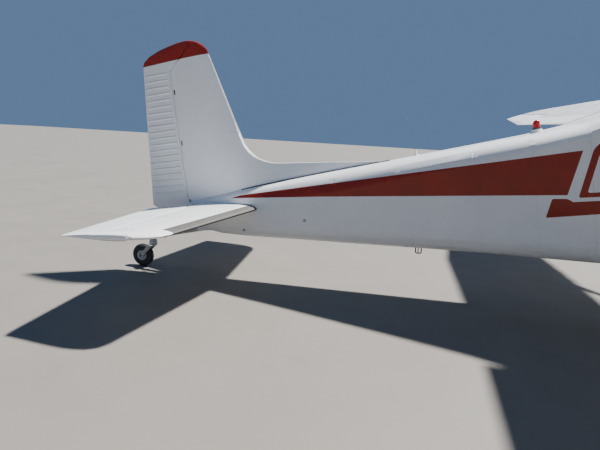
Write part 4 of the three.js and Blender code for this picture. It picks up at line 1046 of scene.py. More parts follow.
box = plate([at(BOARD + 0.002, -0.22, 0.035), at(BOARD + 0.002, -0.43, 0.035), at(BOARD + 0.002, -0.43, 0.16),
             at(BOARD + 0.002, -0.22, 0.16)], 0.004, 0.0015)
assembled("glove_box_lid", [box], 35, wrinkle, "airframe", "dark_trim")

# Rudder pedals: four ribbed rubber pads on bent steel arms that stand on a cross tube, held by
# three blocks on the floor.
pads = []
arms = []
for y in (0.335, 0.175, -0.175, -0.335):
    arms.append(hose([at(0.25, y, -0.3), at(0.215, y, -0.25), at(0.175, y, -0.15)], 0.008, 10))
    pads.append(block((0.012, 0.085, 0.115), at(0.182, y, -0.165), 0.004))
    for i in range(4):
        pads.append(block((0.006, 0.075, 0.007), at(0.19, y, -0.205 + 0.026 * i), 0.002, 1))
arms.append(hose([at(0.252, 0.4, -0.302), at(0.252, -0.4, -0.302)], 0.011, 12))
for y in (0.4, 0.0, -0.4):
    arms.append(block((0.05, 0.024, 0.036), at(0.252, y, -0.317), 0.004))
assembled("rudder_pedal_pads", pads, 35, rubber, "airframe", "black_rubber")
assembled("rudder_pedal_arms", arms, 40, painted_steel, "airframe", "bare_metal")

# Sun visors under the roof, a round compass on top of the instrument panel, and the trim wheel
# in its console on the cabin's middle line, ahead of the seats.
shades = [block((0.15, 0.3, 0.012), at(0.76, y, 0.925), 0.005, 3) for y in (0.235, -0.235)]
assembled("sun_visors", shades, 40, vinyl, "airframe", "dark_trim")
compass = turned([(0, 0.045), (0.02, 0.043), (0.03, 0.03), (0.031, 0.01), (0.024, 0.0), (0, 0)], 20,
                 (0, 0, 1), at(0.24, 0, 0.354))
assembled("panel_compass", [compass], 35, sealant, "airframe", "dark_trim")
wheel = turned([(0.06, -0.01), (0.078, -0.012), (0.082, -0.006), (0.082, 0.006), (0.078, 0.012), (0.06, 0.01),
                (0.06, -0.01)], 36, (0, 1, 0), at(0.72, 0, -0.275))
console = block((0.16, 0.06, 0.075), at(0.72, 0, -0.295), 0.01, 3)
assembled("trim_wheel", [wheel, console], 35, sealant, "airframe", "dark_trim")


# Cowling: two aluminium shells and a nose bowl round the engine, painted like the body outside
# and left in green primer inside. Quarter-turn studs hold the shells along the split, and a
# small oil door hinges on top.
primer = finish("zinc_primer", (0.19, 0.25, 0.12), (0.15, 0.2, 0.1), 8, (0.5, 0.7), 400, 0.0001)
cowl = smoothed(skin_of("cowling", "engine_cowling"))
cowl.data.materials.append(livery)
cowl.data.materials.append(primer)
for face in cowl.data.polygons:
    middle = LEVEL @ face.center
    normal = TURN_LEVEL @ face.normal
    if normal.y * middle.y + normal.z * (middle.z + 0.1) < -0.001 or (normal.x < -0.9 and middle.x < 1.07):
        face.material_index = 1
fitted(cowl, None, "airframe", "white_paint", "cowling")

SPLIT = 0.02
NOSE_SEAM = -0.96
split = between_levels(SPLIT - 0.0012, SPLIT + 0.0012) + [(at(NOSE_SEAM, 0, 0), (1, 0, 0))]
seams = [ring_of(cowl, "nose_seam", NOSE_SEAM, 0.0012, 0.0004, 0.0005),
         cut_strip(cowl, "split", split, 0.0004, 0.0005)]
fitted(joined("cowling_seams", seams), sealant, "airframe", "dark_trim")
stud = joined("stud", [turned([(0, 0.0024), (0.006, 0.002), (0.008, 0.0), (0, -0.0006)], 12),
                       block((0.011, 0.0018, 0.0008), (0, 0, 0.0025))])
spots = []
for side in (1, -1):
    for height in (SPLIT - 0.02, SPLIT + 0.02):
        spots += row_along(cowl, at(-0.92, side, height), at(-0.04, side, height), 0.125, inward(side))
    spots += row_along(cowl, at(-0.03, side, -0.36), at(-0.03, side, 0.26), 0.1, inward(side))
for station in (NOSE_SEAM - 0.022, NOSE_SEAM + 0.022, -0.03):
    spots += row_round(cowl, station, 12, -80, 86)
fitted(studded("cowling_studs", stud, spots), plated, "airframe", "bare_metal")

door_cuts = between_stations(-0.56, -0.42) + between_sides(1, 0.06, 0.21) + [(at(0, 0, 0.1), (0, 0, -1))]
fitted(cut_strip(cowl, "oil_door", door_cuts, 0.001, 0.0012), livery, "airframe", "white_paint")
hinge_line = [touching(cowl, at(-0.55 + 0.03 * i, 0.058, 1), DOWN)[0] for i in range(5)]
button = turned([(0, 0.004), (0.008, 0.0035), (0.01, 0.002), (0.0125, 0.002), (0.0135, 0.0), (0, -0.001)], 18)
hung_on(button, *touching(cowl, at(-0.49, 0.192, 1), DOWN))
assembled("oil_door_hinge", [hose(hinge_line, 0.0032, 10), button], 35, plated, "airframe", "bare_metal")

# Lips round the two cooling intakes and the carburettor intake, and the pleated foam filter
# behind the lower one.
NOSE_FACE = -1.0785
lips = []
for side in (1, -1):
    lips.append(piped([at(NOSE_FACE, side * y, wl) for y, wl in ((0.178, -0.095), (0.3, -0.075), (0.3, 0.095),
                                                                 (0.178, 0.11))], 0.006, 0.03))
lips.append(piped([at(NOSE_FACE, y, wl) for y, wl in ((-0.086, -0.232), (0.086, -0.232), (0.086, -0.186),
                                                      (-0.086, -0.186))], 0.0045, 0.012))
assembled("intake_lips", lips, 60, plain_white, "airframe", "white_paint")
foam = finish("filter_foam", (0.16, 0.1, 0.05), (0.09, 0.055, 0.03), 40, (0.85, 1.0), 260, 0.003)
pleats = [block((0.03, 0.012, 0.056), at(-1.03, -0.076 + 0.019 * i, -0.209), 0.003, 1) for i in range(9)]
assembled("air_filter", pleats, 40, foam, "airframe", "dark_trim")

# Cowl flaps: two sheets at the lower rear outlet, half open, each stiffened by three ribs and
# hung on a hinge rod along its front edge.
flaps = []
for side in (1, -1):
    inner, outer = side * 0.014, side * 0.2
    flaps.append(plate([at(-0.185, inner, -0.4385), at(0.03, inner, -0.47), at(0.03, outer, -0.47),
                        at(-0.185, outer, -0.4385)], 0.0022, 0.0008, 1))
    for share in (0.25, 0.5, 0.75):
        y = inner + (outer - inner) * share
        flaps.append(hose([at(-0.17, y, -0.4425), at(0.02, y, -0.4705)], 0.0045, 8))
    flaps.append(hose([at(-0.187, inner, -0.437), at(-0.187, outer, -0.437)], 0.0042, 8))
assembled("cowl_flaps", flaps, 40, plain_white, "airframe", "white_paint")

# Exhaust: a bent stainless pipe below the cowling, browned by heat, with a clamp round its bend
# and a rolled lip at its end.
heated = finish("heat_stained_steel", (0.26, 0.2, 0.15), (0.12, 0.1, 0.09), 14, (0.35, 0.55), 300, 0.0003,
                Metallic=0.9)
PIPE = [at(-0.43, -0.25, -0.225), at(-0.42, -0.25, -0.33), at(-0.32, -0.25, -0.56)]
line = [PIPE[0].lerp(PIPE[1], t).lerp(PIPE[1].lerp(PIPE[2], t), t) for t in [i / 12 for i in range(13)]]
pipe = hose(line, 0.0292, 24, 0.0014)
ahead = (line[5] - line[4]).normalized()
clamp = turned([(0.0292, -0.008), (0.0315, -0.008), (0.0322, 0.0), (0.0315, 0.008), (0.0292, 0.008),
                (0.0292, -0.008)], 28, ahead, line[4])
lip = turned([(0.027, 0.0), (0.0296, 0.001), (0.03, -0.004), (0.0292, -0.006), (0.027, 0.0)], 28,
             line[12] - line[11], line[12])
assembled("exhaust_pipe", [pipe, clamp, lip], 40, heated, "airframe", "bare_metal", "exhaust")


# Engine: an air-cooled flat six in cast aluminium, with finned cylinders, rocker covers and push
# rod tubes, ignition leads and baffles, on a welded steel mount. Most of it hides in the cowling.
cast_alloy = finish("cast_alloy", (0.34, 0.34, 0.33), (0.24, 0.24, 0.24), 12, (0.4, 0.6), 500, 0.0004,
                    Metallic=0.8)
grey_case = finish("grey_case_paint", (0.1, 0.11, 0.12), (0.07, 0.075, 0.08), 14, (0.4, 0.6), 300, 0.0004,
                   Metallic=0.3)
case = block((0.64, 0.19, 0.21), at(-0.56, 0, -0.035), 0.018, 3)
edit_faces(case, lambda face: face.area > 0.05)
bpy.ops.mesh.inset(thickness=0.02, depth=0.0)
bpy.ops.mesh.inset(thickness=0.006, depth=-0.006)
leave()
sump = block((0.42, 0.25, 0.09), at(-0.5, 0, -0.188), 0.024, 4)
snout = turned([(0, -0.02), (0.14, -0.02), (0.14, 0.0), (0.132, 0.014), (0.104, 0.04), (0.097, 0.09),
                (0.09, 0.108), (0.061, 0.11), (0.061, 0.196), (0.0615, 0.2135), (0, 0.2135)], 32, FORWARD,
               at(-0.88, 0, 0))
magnetos = [turned([(0, 0), (0.04, 0), (0.042, 0.03), (0.036, 0.05), (0.036, 0.075), (0, 0.08)], 20, AFTWARD,
                   at(-0.3, y, 0.07)) for y in (0.06, -0.06)]
assembled("engine_case", [case, sump, snout] + magnetos, 35, grey_case, "airframe", "cast_engine",
          "engine_block")

FINS = 13
barrel = [(0, 0.085), (0.06, 0.085)]
for i in range(FINS):
    y = 0.096 + 0.0125 * i
    barrel += [(0.056, y), (0.074 + 0.002 * (i > 8), y + 0.0035), (0.074 + 0.002 * (i > 8), y + 0.006),
               (0.056, y + 0.0095)]
barrel += [(0.07, 0.262), (0.076, 0.266), (0.074, 0.29), (0, 0.29)]
pots, covers, tubes, leads = [], [], [], []
for mark, stations in ((1, (-0.8, -0.6, -0.4)), (-1, (-0.76, -0.56, -0.36))):
    for station in stations:
        pots.append(turned(barrel, 24, (0, mark, 0), at(station, 0, -0.02)))
        covers.append(block((0.13, 0.034, 0.08), at(station, mark * 0.308, -0.02), 0.01, 3))
        for x in (-0.052, 0.052):
            for z in (-0.026, 0.026):
                covers.append(turned([(0, 0.004), (0.005, 0.004), (0.006, 0), (0, 0)], 6, (0, mark, 0),
                                     at(station + x, mark * 0.3245, -0.02 + z)))
        for x in (-0.026, 0.026):
            tubes.append(hose([at(station + x, mark * 0.085, -0.118), at(station + x, mark * 0.296, -0.072)],
                              0.0075, 10))
        tubes.append(hose([at(station - 0.03, mark * 0.285, -0.085), at(station - 0.03, mark * 0.27, -0.15),
                           at(station - 0.02, mark * 0.2, -0.185)], 0.018, 14))
        leads.append(hose([at(-0.33, mark * 0.06, 0.105), at(station + 0.06, mark * 0.11, 0.118),
                           at(station, mark * 0.22, 0.112), at(station, mark * 0.268, 0.058)], 0.0042, 8))
    tubes.append(hose([at(-0.86, mark * 0.2, -0.188), at(-0.33, mark * 0.2, -0.188)], 0.02, 14))
assembled("engine_cylinders", pots, 40, cast_alloy, "airframe", "cast_engine")
assembled("rocker_covers", covers, 35, grey_case, "airframe", "cast_engine")
assembled("engine_tubes", tubes, 40, bare_steel, "airframe", "bare_metal")
assembled("ignition_leads", leads, 40, rubber, "airframe", "black_rubber")
legs = []
for y, wl in ((-0.221, -0.153), (0.221, -0.153), (-0.221, 0.0765), (0.221, 0.0765)):
    legs.append(hose([at(-0.24, y * 0.5, wl * 0.8), at(-0.2, y, wl), at(-0.01, y, wl)], 0.0135, 12))
    legs.append(turned([(0, 0.012), (0.02, 0.012), (0.026, 0.006), (0.026, 0.0), (0, 0.0)], 16, FORWARD,
                       at(-0.0005, y, wl)))
assembled("engine_mount", legs, 40, painted_steel, "airframe", "bare_metal")
baffle = [plate([at(-0.94, 0.1 * s, 0.078), at(-0.24, 0.1 * s, 0.078), at(-0.24, 0.33 * s, 0.078),
                 at(-0.94, 0.33 * s, 0.078)], 0.0015) for s in (1, -1)]
assembled("engine_baffles", baffle, 35, cast_alloy, "airframe", "cast_engine")


# Propeller and spinner: two forged aluminium blades, polished in front and matt black behind, with
# striped tips, in a painted cone screwed to its backplate.
HUB = at(-1.15, 0, 0)


def round_places(count, radius, first=0.0):
    """Pairs of offsets evenly round a circle, from a first angle in degrees."""
    angles = [math.radians(first + 360 * i / count) for i in range(count)]
    return [(radius * math.cos(angle), radius * math.sin(angle)) for angle in angles]


def striped_tips(tree, place, metal):
    reach = wire(tree, "ShaderNodeVectorMath", {0: place, 1: SET_DOWN @ HUB},
                 operation="DISTANCE").outputs["Value"]
    tint = metal
    for start, end, colour in ((0.86, 0.905, (0.7, 0.7, 0.68, 1)), (0.905, 0.95, (*RED, 1)),
                               (0.95, 0.995, (0.7, 0.7, 0.68, 1))):
        band = maths(tree, "MULTIPLY", maths(tree, "GREATER_THAN", reach, start),
                     maths(tree, "LESS_THAN", reach, end))
        tint = blended(tree, band, tint, colour)
    return tint


bright_metal = finish("bright_aluminium", (0.72, 0.73, 0.74), (0.6, 0.61, 0.62), 9, (0.16, 0.3), 700, 0.00003,
                      striped_tips, Metallic=0.9)
matt_back = finish("matt_black_back", (0.018, 0.018, 0.019), (0.03, 0.03, 0.03), 9, (0.6, 0.8), 700, 0.0001,
                   striped_tips)
blades = smoothed(skin_of("propeller", "propeller_blades"), 40)
blades.data.materials.append(bright_metal)
blades.data.materials.append(matt_back)
for face in blades.data.polygons:
    if (TURN_LEVEL @ face.normal).x < -0.25 and (LEVEL @ face.center - HUB).yz.length > 0.09:
        face.material_index = 1
fitted(blades, None, "propeller_set", "blade_metal", "propeller")
cone = smoothed(skin_of("spinner", "spinner_cone"), 40)
fitted(cone, plain_white, "propeller_set", "white_paint", "spinner")
fitted(ring_of(cone, "spinner_back_seam", -1.112, 0.0012, 0.0003, 0.0005), sealant, "propeller_set",
       "dark_trim")
spots = []
for y, z in round_places(24, 1, 7.5):
    outward = Vector((0, y, z))
    found = touching(cone, at(-1.1035, 0, 0) + outward * 0.4, -outward)
    if found and (found[0] - at(-1.1035, 0, 0)).length > 0.15:
        spots.append(facing(*found))
fitted(studded("spinner_screws", dome(0.0036, 0.0012), spots), plated, "propeller_set", "bare_metal")
HUB_BOLT = [(0, 0.008), (0.007, 0.008), (0.0085, 0.006), (0.0085, 0), (0, 0)]
bolts = [turned(HUB_BOLT, 6, FORWARD, at(-1.215, y, z)) for y, z in round_places(6, 0.055)]
assembled("hub_bolts", bolts, 30, bare_steel, "propeller_set", "bare_metal")


# Wings: sheet skins riveted over ribs and two spars, with moulded tips, all white. The flaps and
# ailerons are stiffened by pressed beads, and a streamlined strut braces each wing.
ROOT_CHORD, TIP_LOSS = 1.63, 0.54
TAPER_FROM, TAPER_RUN = 2.54, 2.92


def tapered(y):
    return max(0, (y - TAPER_FROM) / TAPER_RUN)


def wing_chord(y):
    return ROOT_CHORD - TIP_LOSS * tapered(y)


def wing_front(y):
    return 0.44 + 0.25 * (ROOT_CHORD - wing_chord(y))


def wing_level(y):
    return 0.8569 + (y - 0.535) * 0.03667 - 0.012 * tapered(y)


def off_wing(mark, y, share, up):
    """A level point well over or under a wing, at a share of its chord from the front."""
    return at(wing_front(y) + share * wing_chord(y), mark * y, wing_level(y) + up * 0.6)


def bead_on(piece, name, middle, across, half, height, cuts):
    """A pressed bead: a strip of the skin whose middle line is raised, cut off at its ends."""
    strip = copied(piece, name)
    across = TURN_DOWN @ Vector(across)
    middle = SET_DOWN @ middle
    edit(strip)
    planes = [(middle + across * half, across), (middle - across * half, -across)]
    planes += [(SET_DOWN @ place, TURN_DOWN @ Vector(outward)) for place, outward in cuts]
    for place, outward in planes:
        cut_all(place, outward, clear_outer=True)
    cut_all(middle, across)
    bpy.ops.transform.shrink_fatten(value=height)
    leave()
    return strip


def beaded(name, beads):
    piece = with_modifier(joined(name, beads), "SOLIDIFY", thickness=0.0015, offset=-1.0)
    bpy.ops.object.shade_smooth_by_angle(angle=math.radians(60))
    return piece


clear_lens = lens("clear_lens", (0.9, 0.92, 0.92), (0.84, 0.87, 0.88), 40, (0.05, 0.12), 0.8)
green_lens = lens("green_lens", (0.01, 0.3, 0.08), (0.008, 0.24, 0.06), 40, (0.06, 0.14), 0.25)
red_lens = lens("red_lens", (0.45, 0.01, 0.008), (0.36, 0.008, 0.006), 40, (0.06, 0.14), 0.25)
dome_rivet = [(0, 0.0014), (0.0022, 0.0011), (0.0033, 0.0), (0, -0.0004)]
STRUT_BOLT = [(0, 0.012), (0.009, 0.012), (0.0105, 0.009), (0.0105, 0.004), (0.015, 0.003), (0.015, 0),
              (0, 0)]
CAP = [(0, 0.006), (0.012, 0.006), (0.016, 0.0035), (0.04, 0.003), (0.046, 0.0), (0, -0.002)]
COVER = [(0, 0.0014), (0.049, 0.0014), (0.051, 0.0), (0, -0.001)]
for side, mark in SIDES:
    skins = {}
    for node, name, body in (("wing", "wing_skin", "airframe"),
                             ("aileron", "aileron_skin", f"{side}_aileron"),
                             ("flap", "flap_skin", f"{side}_flap"), ("strut", "strut_tube", "airframe")):
        piece = smoothed(skin_of(f"{node}_{side}", f"{name}_{side}"))
        skins[node] = fitted(piece, plain_white, body, "white_paint", f"{node}_{side}")
    wing, strut_tube = skins["wing"], skins["strut"]

    rivets = []
    for up in (1, -1):
        look = SKYWARD * -up
        for share, outer in ((0.06, 5.15), (0.25, 5.18), (0.5, 5.18), (0.7, 5.18)):
            for inner, far in ((0.6, 2.54), (2.54, outer)):
                ends = [off_wing(mark, y, share, up) for y in (inner, far)]
                rivets += row_along(wing, *ends, 0.062, look)
        for i in range(14):
            ends = [off_wing(mark, 0.62 + 0.35 * i, share, up) for share in (0.03, 0.7)]
            rivets += row_along(wing, *ends, 0.062, look)
    fitted(studded(f"wing_rivets_{side}", turned(dome_rivet, 6), rivets), plain_white, "airframe",
           "white_paint")

    for name, body, start, step, count, front, rear in (
            ("flap", f"{side}_flap", 0.66, 0.1, 19, lambda y: 1.835, lambda y: 2.035),
            ("aileron", f"{side}_aileron", 2.62, 0.1, 26, lambda y: wing_front(y) + 0.8 * wing_chord(y),
             lambda y: wing_front(y) + 0.965 * wing_chord(y))):
        beads = []
        for i in range(count):
            y = start + step * i
            beads.append(bead_on(skins[name], "bead", at(1.9, mark * y, 0), LEFT, 0.011, 0.0034,
                                 between_stations(front(y), rear(y))))
        fitted(beaded(f"{name}_beads_{side}", beads), plain_white, body, "white_paint")

    seams = [cut_strip(wing, "seam", between_sides(mark, y - 0.0012, y + 0.0012), 0.0004, 0.0005)
             for y in (5.2, 2.5405)]
    seams.append(cut_strip(wing, "seam", between_sides(mark, 0.5445, 0.556), 0.0006, 0.0016))
    fitted(joined(f"wing_seams_{side}", seams), sealant, "airframe", "dark_trim")

    def on_wing(y, share, up):
        return facing(*touching(wing, off_wing(mark, y, share, up), SKYWARD * -up), AFTWARD)

    fuel_cap = turned(CAP, 24)
    tab = block((0.056, 0.012, 0.005), (0, 0, 0.0075), 0.002)
    fitted(studded(f"fuel_cap_{side}", joined("cap", [fuel_cap, tab]), [on_wing(1.05, 0.33, 1)]), plated,
           "airframe", "bare_metal")
    lid = [turned(COVER, 24)]
    for x, y in round_places(6, 0.042):
        lid.append(turned(dome_rivet, 6))
        lid[-1].location = (x, y, 0.0014)
    spots = [on_wing(y, share, -1) for y in (1.2, 1.95, 3.1, 4.1, 4.85) for share in (0.36, 0.6)]
    for part in lid:
        applied(part)
    fitted(studded(f"inspection_covers_{side}", joined("cover", lid), spots), plain_white, "airframe",
           "white_paint")

    spot = on_wing(2.79, 0.27, -1)
    bpy.ops.mesh.primitive_torus_add(major_radius=0.02, minor_radius=0.0036, major_segments=24,
                                     minor_segments=8, location=(0, 0, 0.03), rotation=(math.pi / 2, 0, 0))
    ring = applied(bpy.context.object)
    shank = turned([(0, 0.013), (0.006, 0.012), (0.007, 0.004), (0.013, 0.003), (0.014, 0), (0, -0.002)], 16)
    fitted(studded(f"tie_down_ring_{side}", joined("ring", [ring, shank]), [spot]), bare_steel, "airframe",
           "bare_metal")

    brackets = []
    for y in (2.7, 3.9, 5.05):
        bolt = [(0, 0.02), (0.005, 0.02), (0.006, 0.016), (0.006, 0), (0, 0)]
        bracket = joined("bracket", [block((0.075, 0.016, 0.018), (0, 0, 0.007), 0.004), turned(bolt, 6)])
        bracket.matrix_world = on_wing(y, 0.715, -1)
        brackets.append(bracket)
    assembled(f"aileron_hinge_straps_{side}", brackets, 35, plain_white, "airframe", "white_paint")

    lamp_y = 5.33
    place, normal = touching(wing, at(wing_front(lamp_y) - 0.4, mark * lamp_y, wing_level(lamp_y) - 0.002),
                             AFTWARD)
    bulb = turned([(0, 0.034), (0.007, 0.032), (0.013, 0.025), (0.0165, 0.014), (0.018, 0.0), (0, -0.004)],
                  20)
    rim = turned([(0.0175, 0.004), (0.0215, 0.003), (0.0235, -0.002), (0.02, -0.006), (0.0175, 0.004)], 20)
    spot = facing(place, (normal + Vector((0, mark * 0.3, 0))).normalized(), SKYWARD)
    bulb.matrix_world = rim.matrix_world = spot
    glass = (red_lens, "airframe", "red_lens") if mark > 0 else (green_lens, "airframe", "clear_panel")
    assembled(f"wing_lamp_{side}", [bulb], 35, *glass)
    assembled(f"wing_lamp_rim_{side}", [rim], 35, plated, "airframe", "bare_metal")
    vent = turned([(0.018, -0.004), (0.018, 0.004), (0.024, 0.006), (0.028, 0.0), (0.028, -0.004),
                   (0.018, -0.004)], 24)
    hung_on(vent, *touching(wing, at(-0.1, mark * 0.68, wing_level(0.68) - 0.004), AFTWARD), SKYWARD)
    assembled(f"cabin_air_scoop_{side}", [vent], 35, sealant, "airframe", "dark_trim")

    foot, head = at(0.64, mark * 0.47, -0.395), at(0.875, mark * 2.69, 0.958)
    cuffs = [cut_strip(strut_tube, "cuff", [(at(0, mark * 0.66, 0), (0, mark, 0))], 0.0022, 0.0018),
             cut_strip(strut_tube, "cuff", [(at(0, mark * 2.42, 0), (0, -mark, 0))], 0.0022, 0.0018)]
    fitted(joined(f"strut_cuffs_{side}", cuffs), plain_white, "airframe", "white_paint")
    bolts = []
    for share in (0.05, 0.915):
        for way in (1, -1):
            found = touching(strut_tube, foot.lerp(head, share) + Vector((0, mark * way * 0.2, -way * 0.33)),
                             Vector((0, -mark * way * 0.2, way * 0.33)))
            if found:
                bolts.append(hung_on(turned(STRUT_BOLT, 6), *found))
    assembled(f"strut_bolts_{side}", bolts, 30, bare_steel, "airframe", "bare_metal")

# Pitot tube on its mast under the left wing, a stall warning vane on the wing's front edge, and
# further out the landing light window with a bright sheet behind it.
shell = skin_of("wing_left", "shell")
under = touching(shell, at(wing_front(2.95) + 0.16, 2.95, 0.3), SKYWARD)[0]
TUBE_LINE = ((0, 0.004), (0, -0.07), (0.015, -0.088), (0.13, -0.09))
MAST_OUTLINE = ((-0.026, 0.003), (0.014, 0.003), (0.008, -0.08), (-0.01, -0.08))
tube = hose([under + Vector((x, 0, z)) for x, z in TUBE_LINE], 0.0062, 12)
mast = plate([under + Vector((x, 0, z)) for x, z in MAST_OUTLINE], 0.009, 0.003)
assembled("pitot_tube", [tube, mast], 40, bare_steel, "airframe", "bare_metal")
nose = touching(shell, at(0.1, 2.25, wing_level(2.25) - 0.01), AFTWARD)[0]
vane = joined("vane", [block((0.022, 0.03, 0.0012), nose + Vector((0.008, 0, 0)), 0.0004, 1),
                       block((0.006, 0.052, 0.03), nose + Vector((-0.001, 0, 0)), 0.002)])
assembled("stall_warning_vane", [vane], 35, bare_steel, "airframe", "bare_metal")
lens_cuts = [(at(wing_front(3.2) + 0.055, 0, 0), (-1, 0, 0))] + between_sides(1, 3.02, 3.34)
reflector = finish("lamp_reflector", (0.55, 0.56, 0.57), (0.3, 0.31, 0.32), 14, (0.15, 0.3), 500, 0.0001,
                   Metallic=1.0)
fitted(cut_strip(shell, "landing_light_well", lens_cuts, 0.0005, 0.0006), reflector, "airframe", "bare_metal")
fitted(cut_strip(shell, "landing_light_window", lens_cuts, 0.0016, 0.0014), clear_lens, "airframe",
       "clear_panel")
bpy.data.objects.remove(shell)


# Main gear: one flat spring-steel leg a side, painted white, with a rubber boot where it leaves
# the belly and its brake line clipped along it.
for side, mark in SIDES:
    leg = skin_of(f"gear_leg_{side}", f"gear_leg_spring_{side}")
    fitted(smoothed(rounded(leg, 0.003, 2, 50)), plain_white, "airframe", "leg_paint", f"gear_leg_{side}")
    boot = cut_strip(leg, f"gear_leg_boot_{side}", [(at(0, mark * 0.47, 0), (0, mark, 0))], 0.0015, 0.0035)
    fitted(boot, rubber, "airframe", "black_rubber")
    line = [at(0.706, mark * 0.4, -0.437), at(0.685, mark * 0.54, -0.565), at(0.6135, mark * 0.79, -0.805),
            at(0.5275, mark * 1.008, -1.029), at(0.512, mark * 1.06, -1.075)]
    hoses = [hose(line, 0.0042, 8)]
    for near, far in zip(line, line[1:4]):
        for share in (0.3, 0.8):
            hoses.append(block((0.014, 0.02, 0.012), near.lerp(far, share) + Vector((0.003, 0, 0)), 0.003))
    assembled(f"brake_line_{side}", hoses, 45, sealant, "airframe", "dark_trim")

# Main wheels: cast hubs with a steel brake disc, tyres with ribbed tread, and a calliper that
# stays on the gear leg with its bolts.
def tyre(name, bore, radius, half, grooves, centre, steps):
    """A tyre with rounded walls and grooves round its tread, closed inside at its bead."""
    outer = []
    for i in range(13):
        angle = math.radians(-90 + 15 * i)
        outer.append((bore + (radius - bore) * max(0, math.cos(angle)) ** 0.62, half * math.sin(angle)))
    outer[0] = (bore, -half * 0.72)
    outer[-1] = (bore, half * 0.72)
    crown = []
    for groove in grooves:
        crown += [(groove - 0.0035, 0), (groove - 0.0022, -0.0045), (groove + 0.0022, -0.0045),
                  (groove + 0.0035, 0)]
    flat = half * 0.62
    profile = [p for p in outer if p[1] < -flat]
    for y, depth in [(-flat, 0)] + crown + [(flat, 0)]:
        drop = (radius - bore) * 0.13 * abs(y / flat) ** 2.4
        profile.append((radius - drop + depth, y))
    profile += [p for p in outer if p[1] > flat]
    profile.append(profile[0])
    return set_down(turned(profile, steps, (0, 1, 0), centre), name, 38)


WHEEL_BOLT = [(0, 0.009), (0.005, 0.009), (0.0062, 0.007), (0.0062, 0.002), (0.009, 0.0015), (0.009, -0.002),
              (0, -0.002)]
CALLIPER_BOLT = [(0, 0.006), (0.006, 0.006), (0.0075, 0.004), (0.0075, 0), (0, 0)]
for side, mark in SIDES:
    axle = at(0.447, mark * 1.165, -1.0938)
    out = LEFT * mark
    body = f"{side}_wheel"
    fitted(tyre(f"main_tyre_tread_{side}", 0.0924, 0.2224, 0.0775, (-0.03, -0.01, 0.01, 0.03), axle, 64),
           rubber, body, "black_rubber", f"main_tyre_{side}")
    rim = turned([(0.021, -0.05), (0.034, -0.05), (0.038, -0.036), (0.056, -0.026), (0.072, -0.032),
                  (0.078, -0.052), (0.09, -0.0575), (0.0935, -0.056), (0.0915, -0.05), (0.0915, 0.05),
                  (0.0935, 0.056), (0.09, 0.0575), (0.078, 0.052), (0.072, 0.03), (0.056, 0.024),
                  (0.038, 0.034), (0.034, 0.05), (0.021, 0.05), (0.021, -0.05)], 48, out, axle)
    assembled(f"main_hub_{side}", [rim], 30, plain_white, body, "cast_engine", f"main_wheel_{side}")
    disc = turned([(0.024, -0.05), (0.04, -0.05), (0.04, -0.059), (0.084, -0.059), (0.084, -0.0645),
                   (0.036, -0.0645), (0.024, -0.056), (0.024, -0.05)], 48, out, axle)
    assembled(f"brake_disc_{side}", [disc], 30, bare_steel, body, "bare_metal")
    bolts = [turned(WHEEL_BOLT, 6, out, axle + out * 0.0245 + Vector((x, 0, z)))
             for x, z in round_places(6, 0.05, 30)]
    assembled(f"main_hub_bolts_{side}", bolts, 25, bare_steel, body, "bare_metal")
    calliper = block((0.052, 0.019, 0.074), axle - out * 0.092 + Vector((-0.066, 0, 0)), 0.007, 3)
    pins = [turned(CALLIPER_BOLT, 6, -out, axle - out * 0.101 + Vector((-0.066, 0, z)))
            for z in (-0.022, 0.022)]
    pins += [turned(CALLIPER_BOLT, 6, out, axle - out * 0.103 + Vector((x, 0, z)))
             for x, z in ((-0.03, 0.022), (0.03, 0.022), (-0.03, -0.022), (0.03, -0.022))]
    assembled(f"brake_calliper_{side}", [calliper] + pins, 35, cast_alloy, "airframe", "cast_engine")


# Fin and rudder: riveted sheet over ribs, the rudder's skin stiffened by pressed beads, with
# moulded tips painted red. The rudder swings on three bolted hinges.
def red_cap(tree, place, white):
    _, _, height = drawn(tree, place)
    mask = maths(tree, "GREATER_THAN", height, 1.956)
    return blended(tree, mask, white, (*RED, 1))


fin_paint = finish("fin_enamel", WHITE, WHITE_SHADE, 1.5, (0.2, 0.33), 900, 0.00002, red_cap,
                   Coat_Weight=0.08, Coat_Roughness=0.1, Specular_IOR_Level=0.35)
fin = fitted(smoothed(skin_of("fin", "fin_skin")), fin_paint, "airframe", "white_paint", "fin")
rudder = fitted(smoothed(skin_of("rudder", "rudder_skin")), fin_paint, "rudder_set", "white_paint", "rudder")


def hinge_station(height):
    return 5.775 - (height - 0.296) * 0.0275


def rudder_rear(height):
    return 6.199 - (height - 0.608) * 0.1254


def beside(line, height, aft, side):
    """A level point beside the tail at a height, as far aft of a line there as given."""
    return at(line(height) + aft, side, height)


BEAD_RUN = (0.035, 0, 1)
beads = []
for i in range(20):
    height = 0.665 + 0.0625 * i
    cuts = between_stations(hinge_station(height) + 0.04, rudder_rear(height) - 0.018)
    beads.append(bead_on(rudder, f"bead_{i}", at(5.9, 0, height), BEAD_RUN, 0.012, 0.0072, cuts))
fitted(beaded("rudder_beads", beads), fin_paint, "rudder_set", "white_paint")

rivets = []
for side in (1, -1):
    rows = [(at(5.025 + (height - 0.7) * 0.275, side, height), beside(hinge_station, height, -0.045, side))
            for height in (0.7, 0.98, 1.284, 1.58, 1.861)]
    rows.append([beside(hinge_station, height, -0.04, side) for height in (0.65, 1.84)])
    rows.append((at(5.06, side, 0.68), at(5.385, side, 1.94)))
    for ends in rows:
        rivets += row_along(fin, *ends, 0.05, inward(side))
fitted(studded("fin_rivets", dome(*SMALL_RIVET), rivets), fin_paint, "airframe", "white_paint")

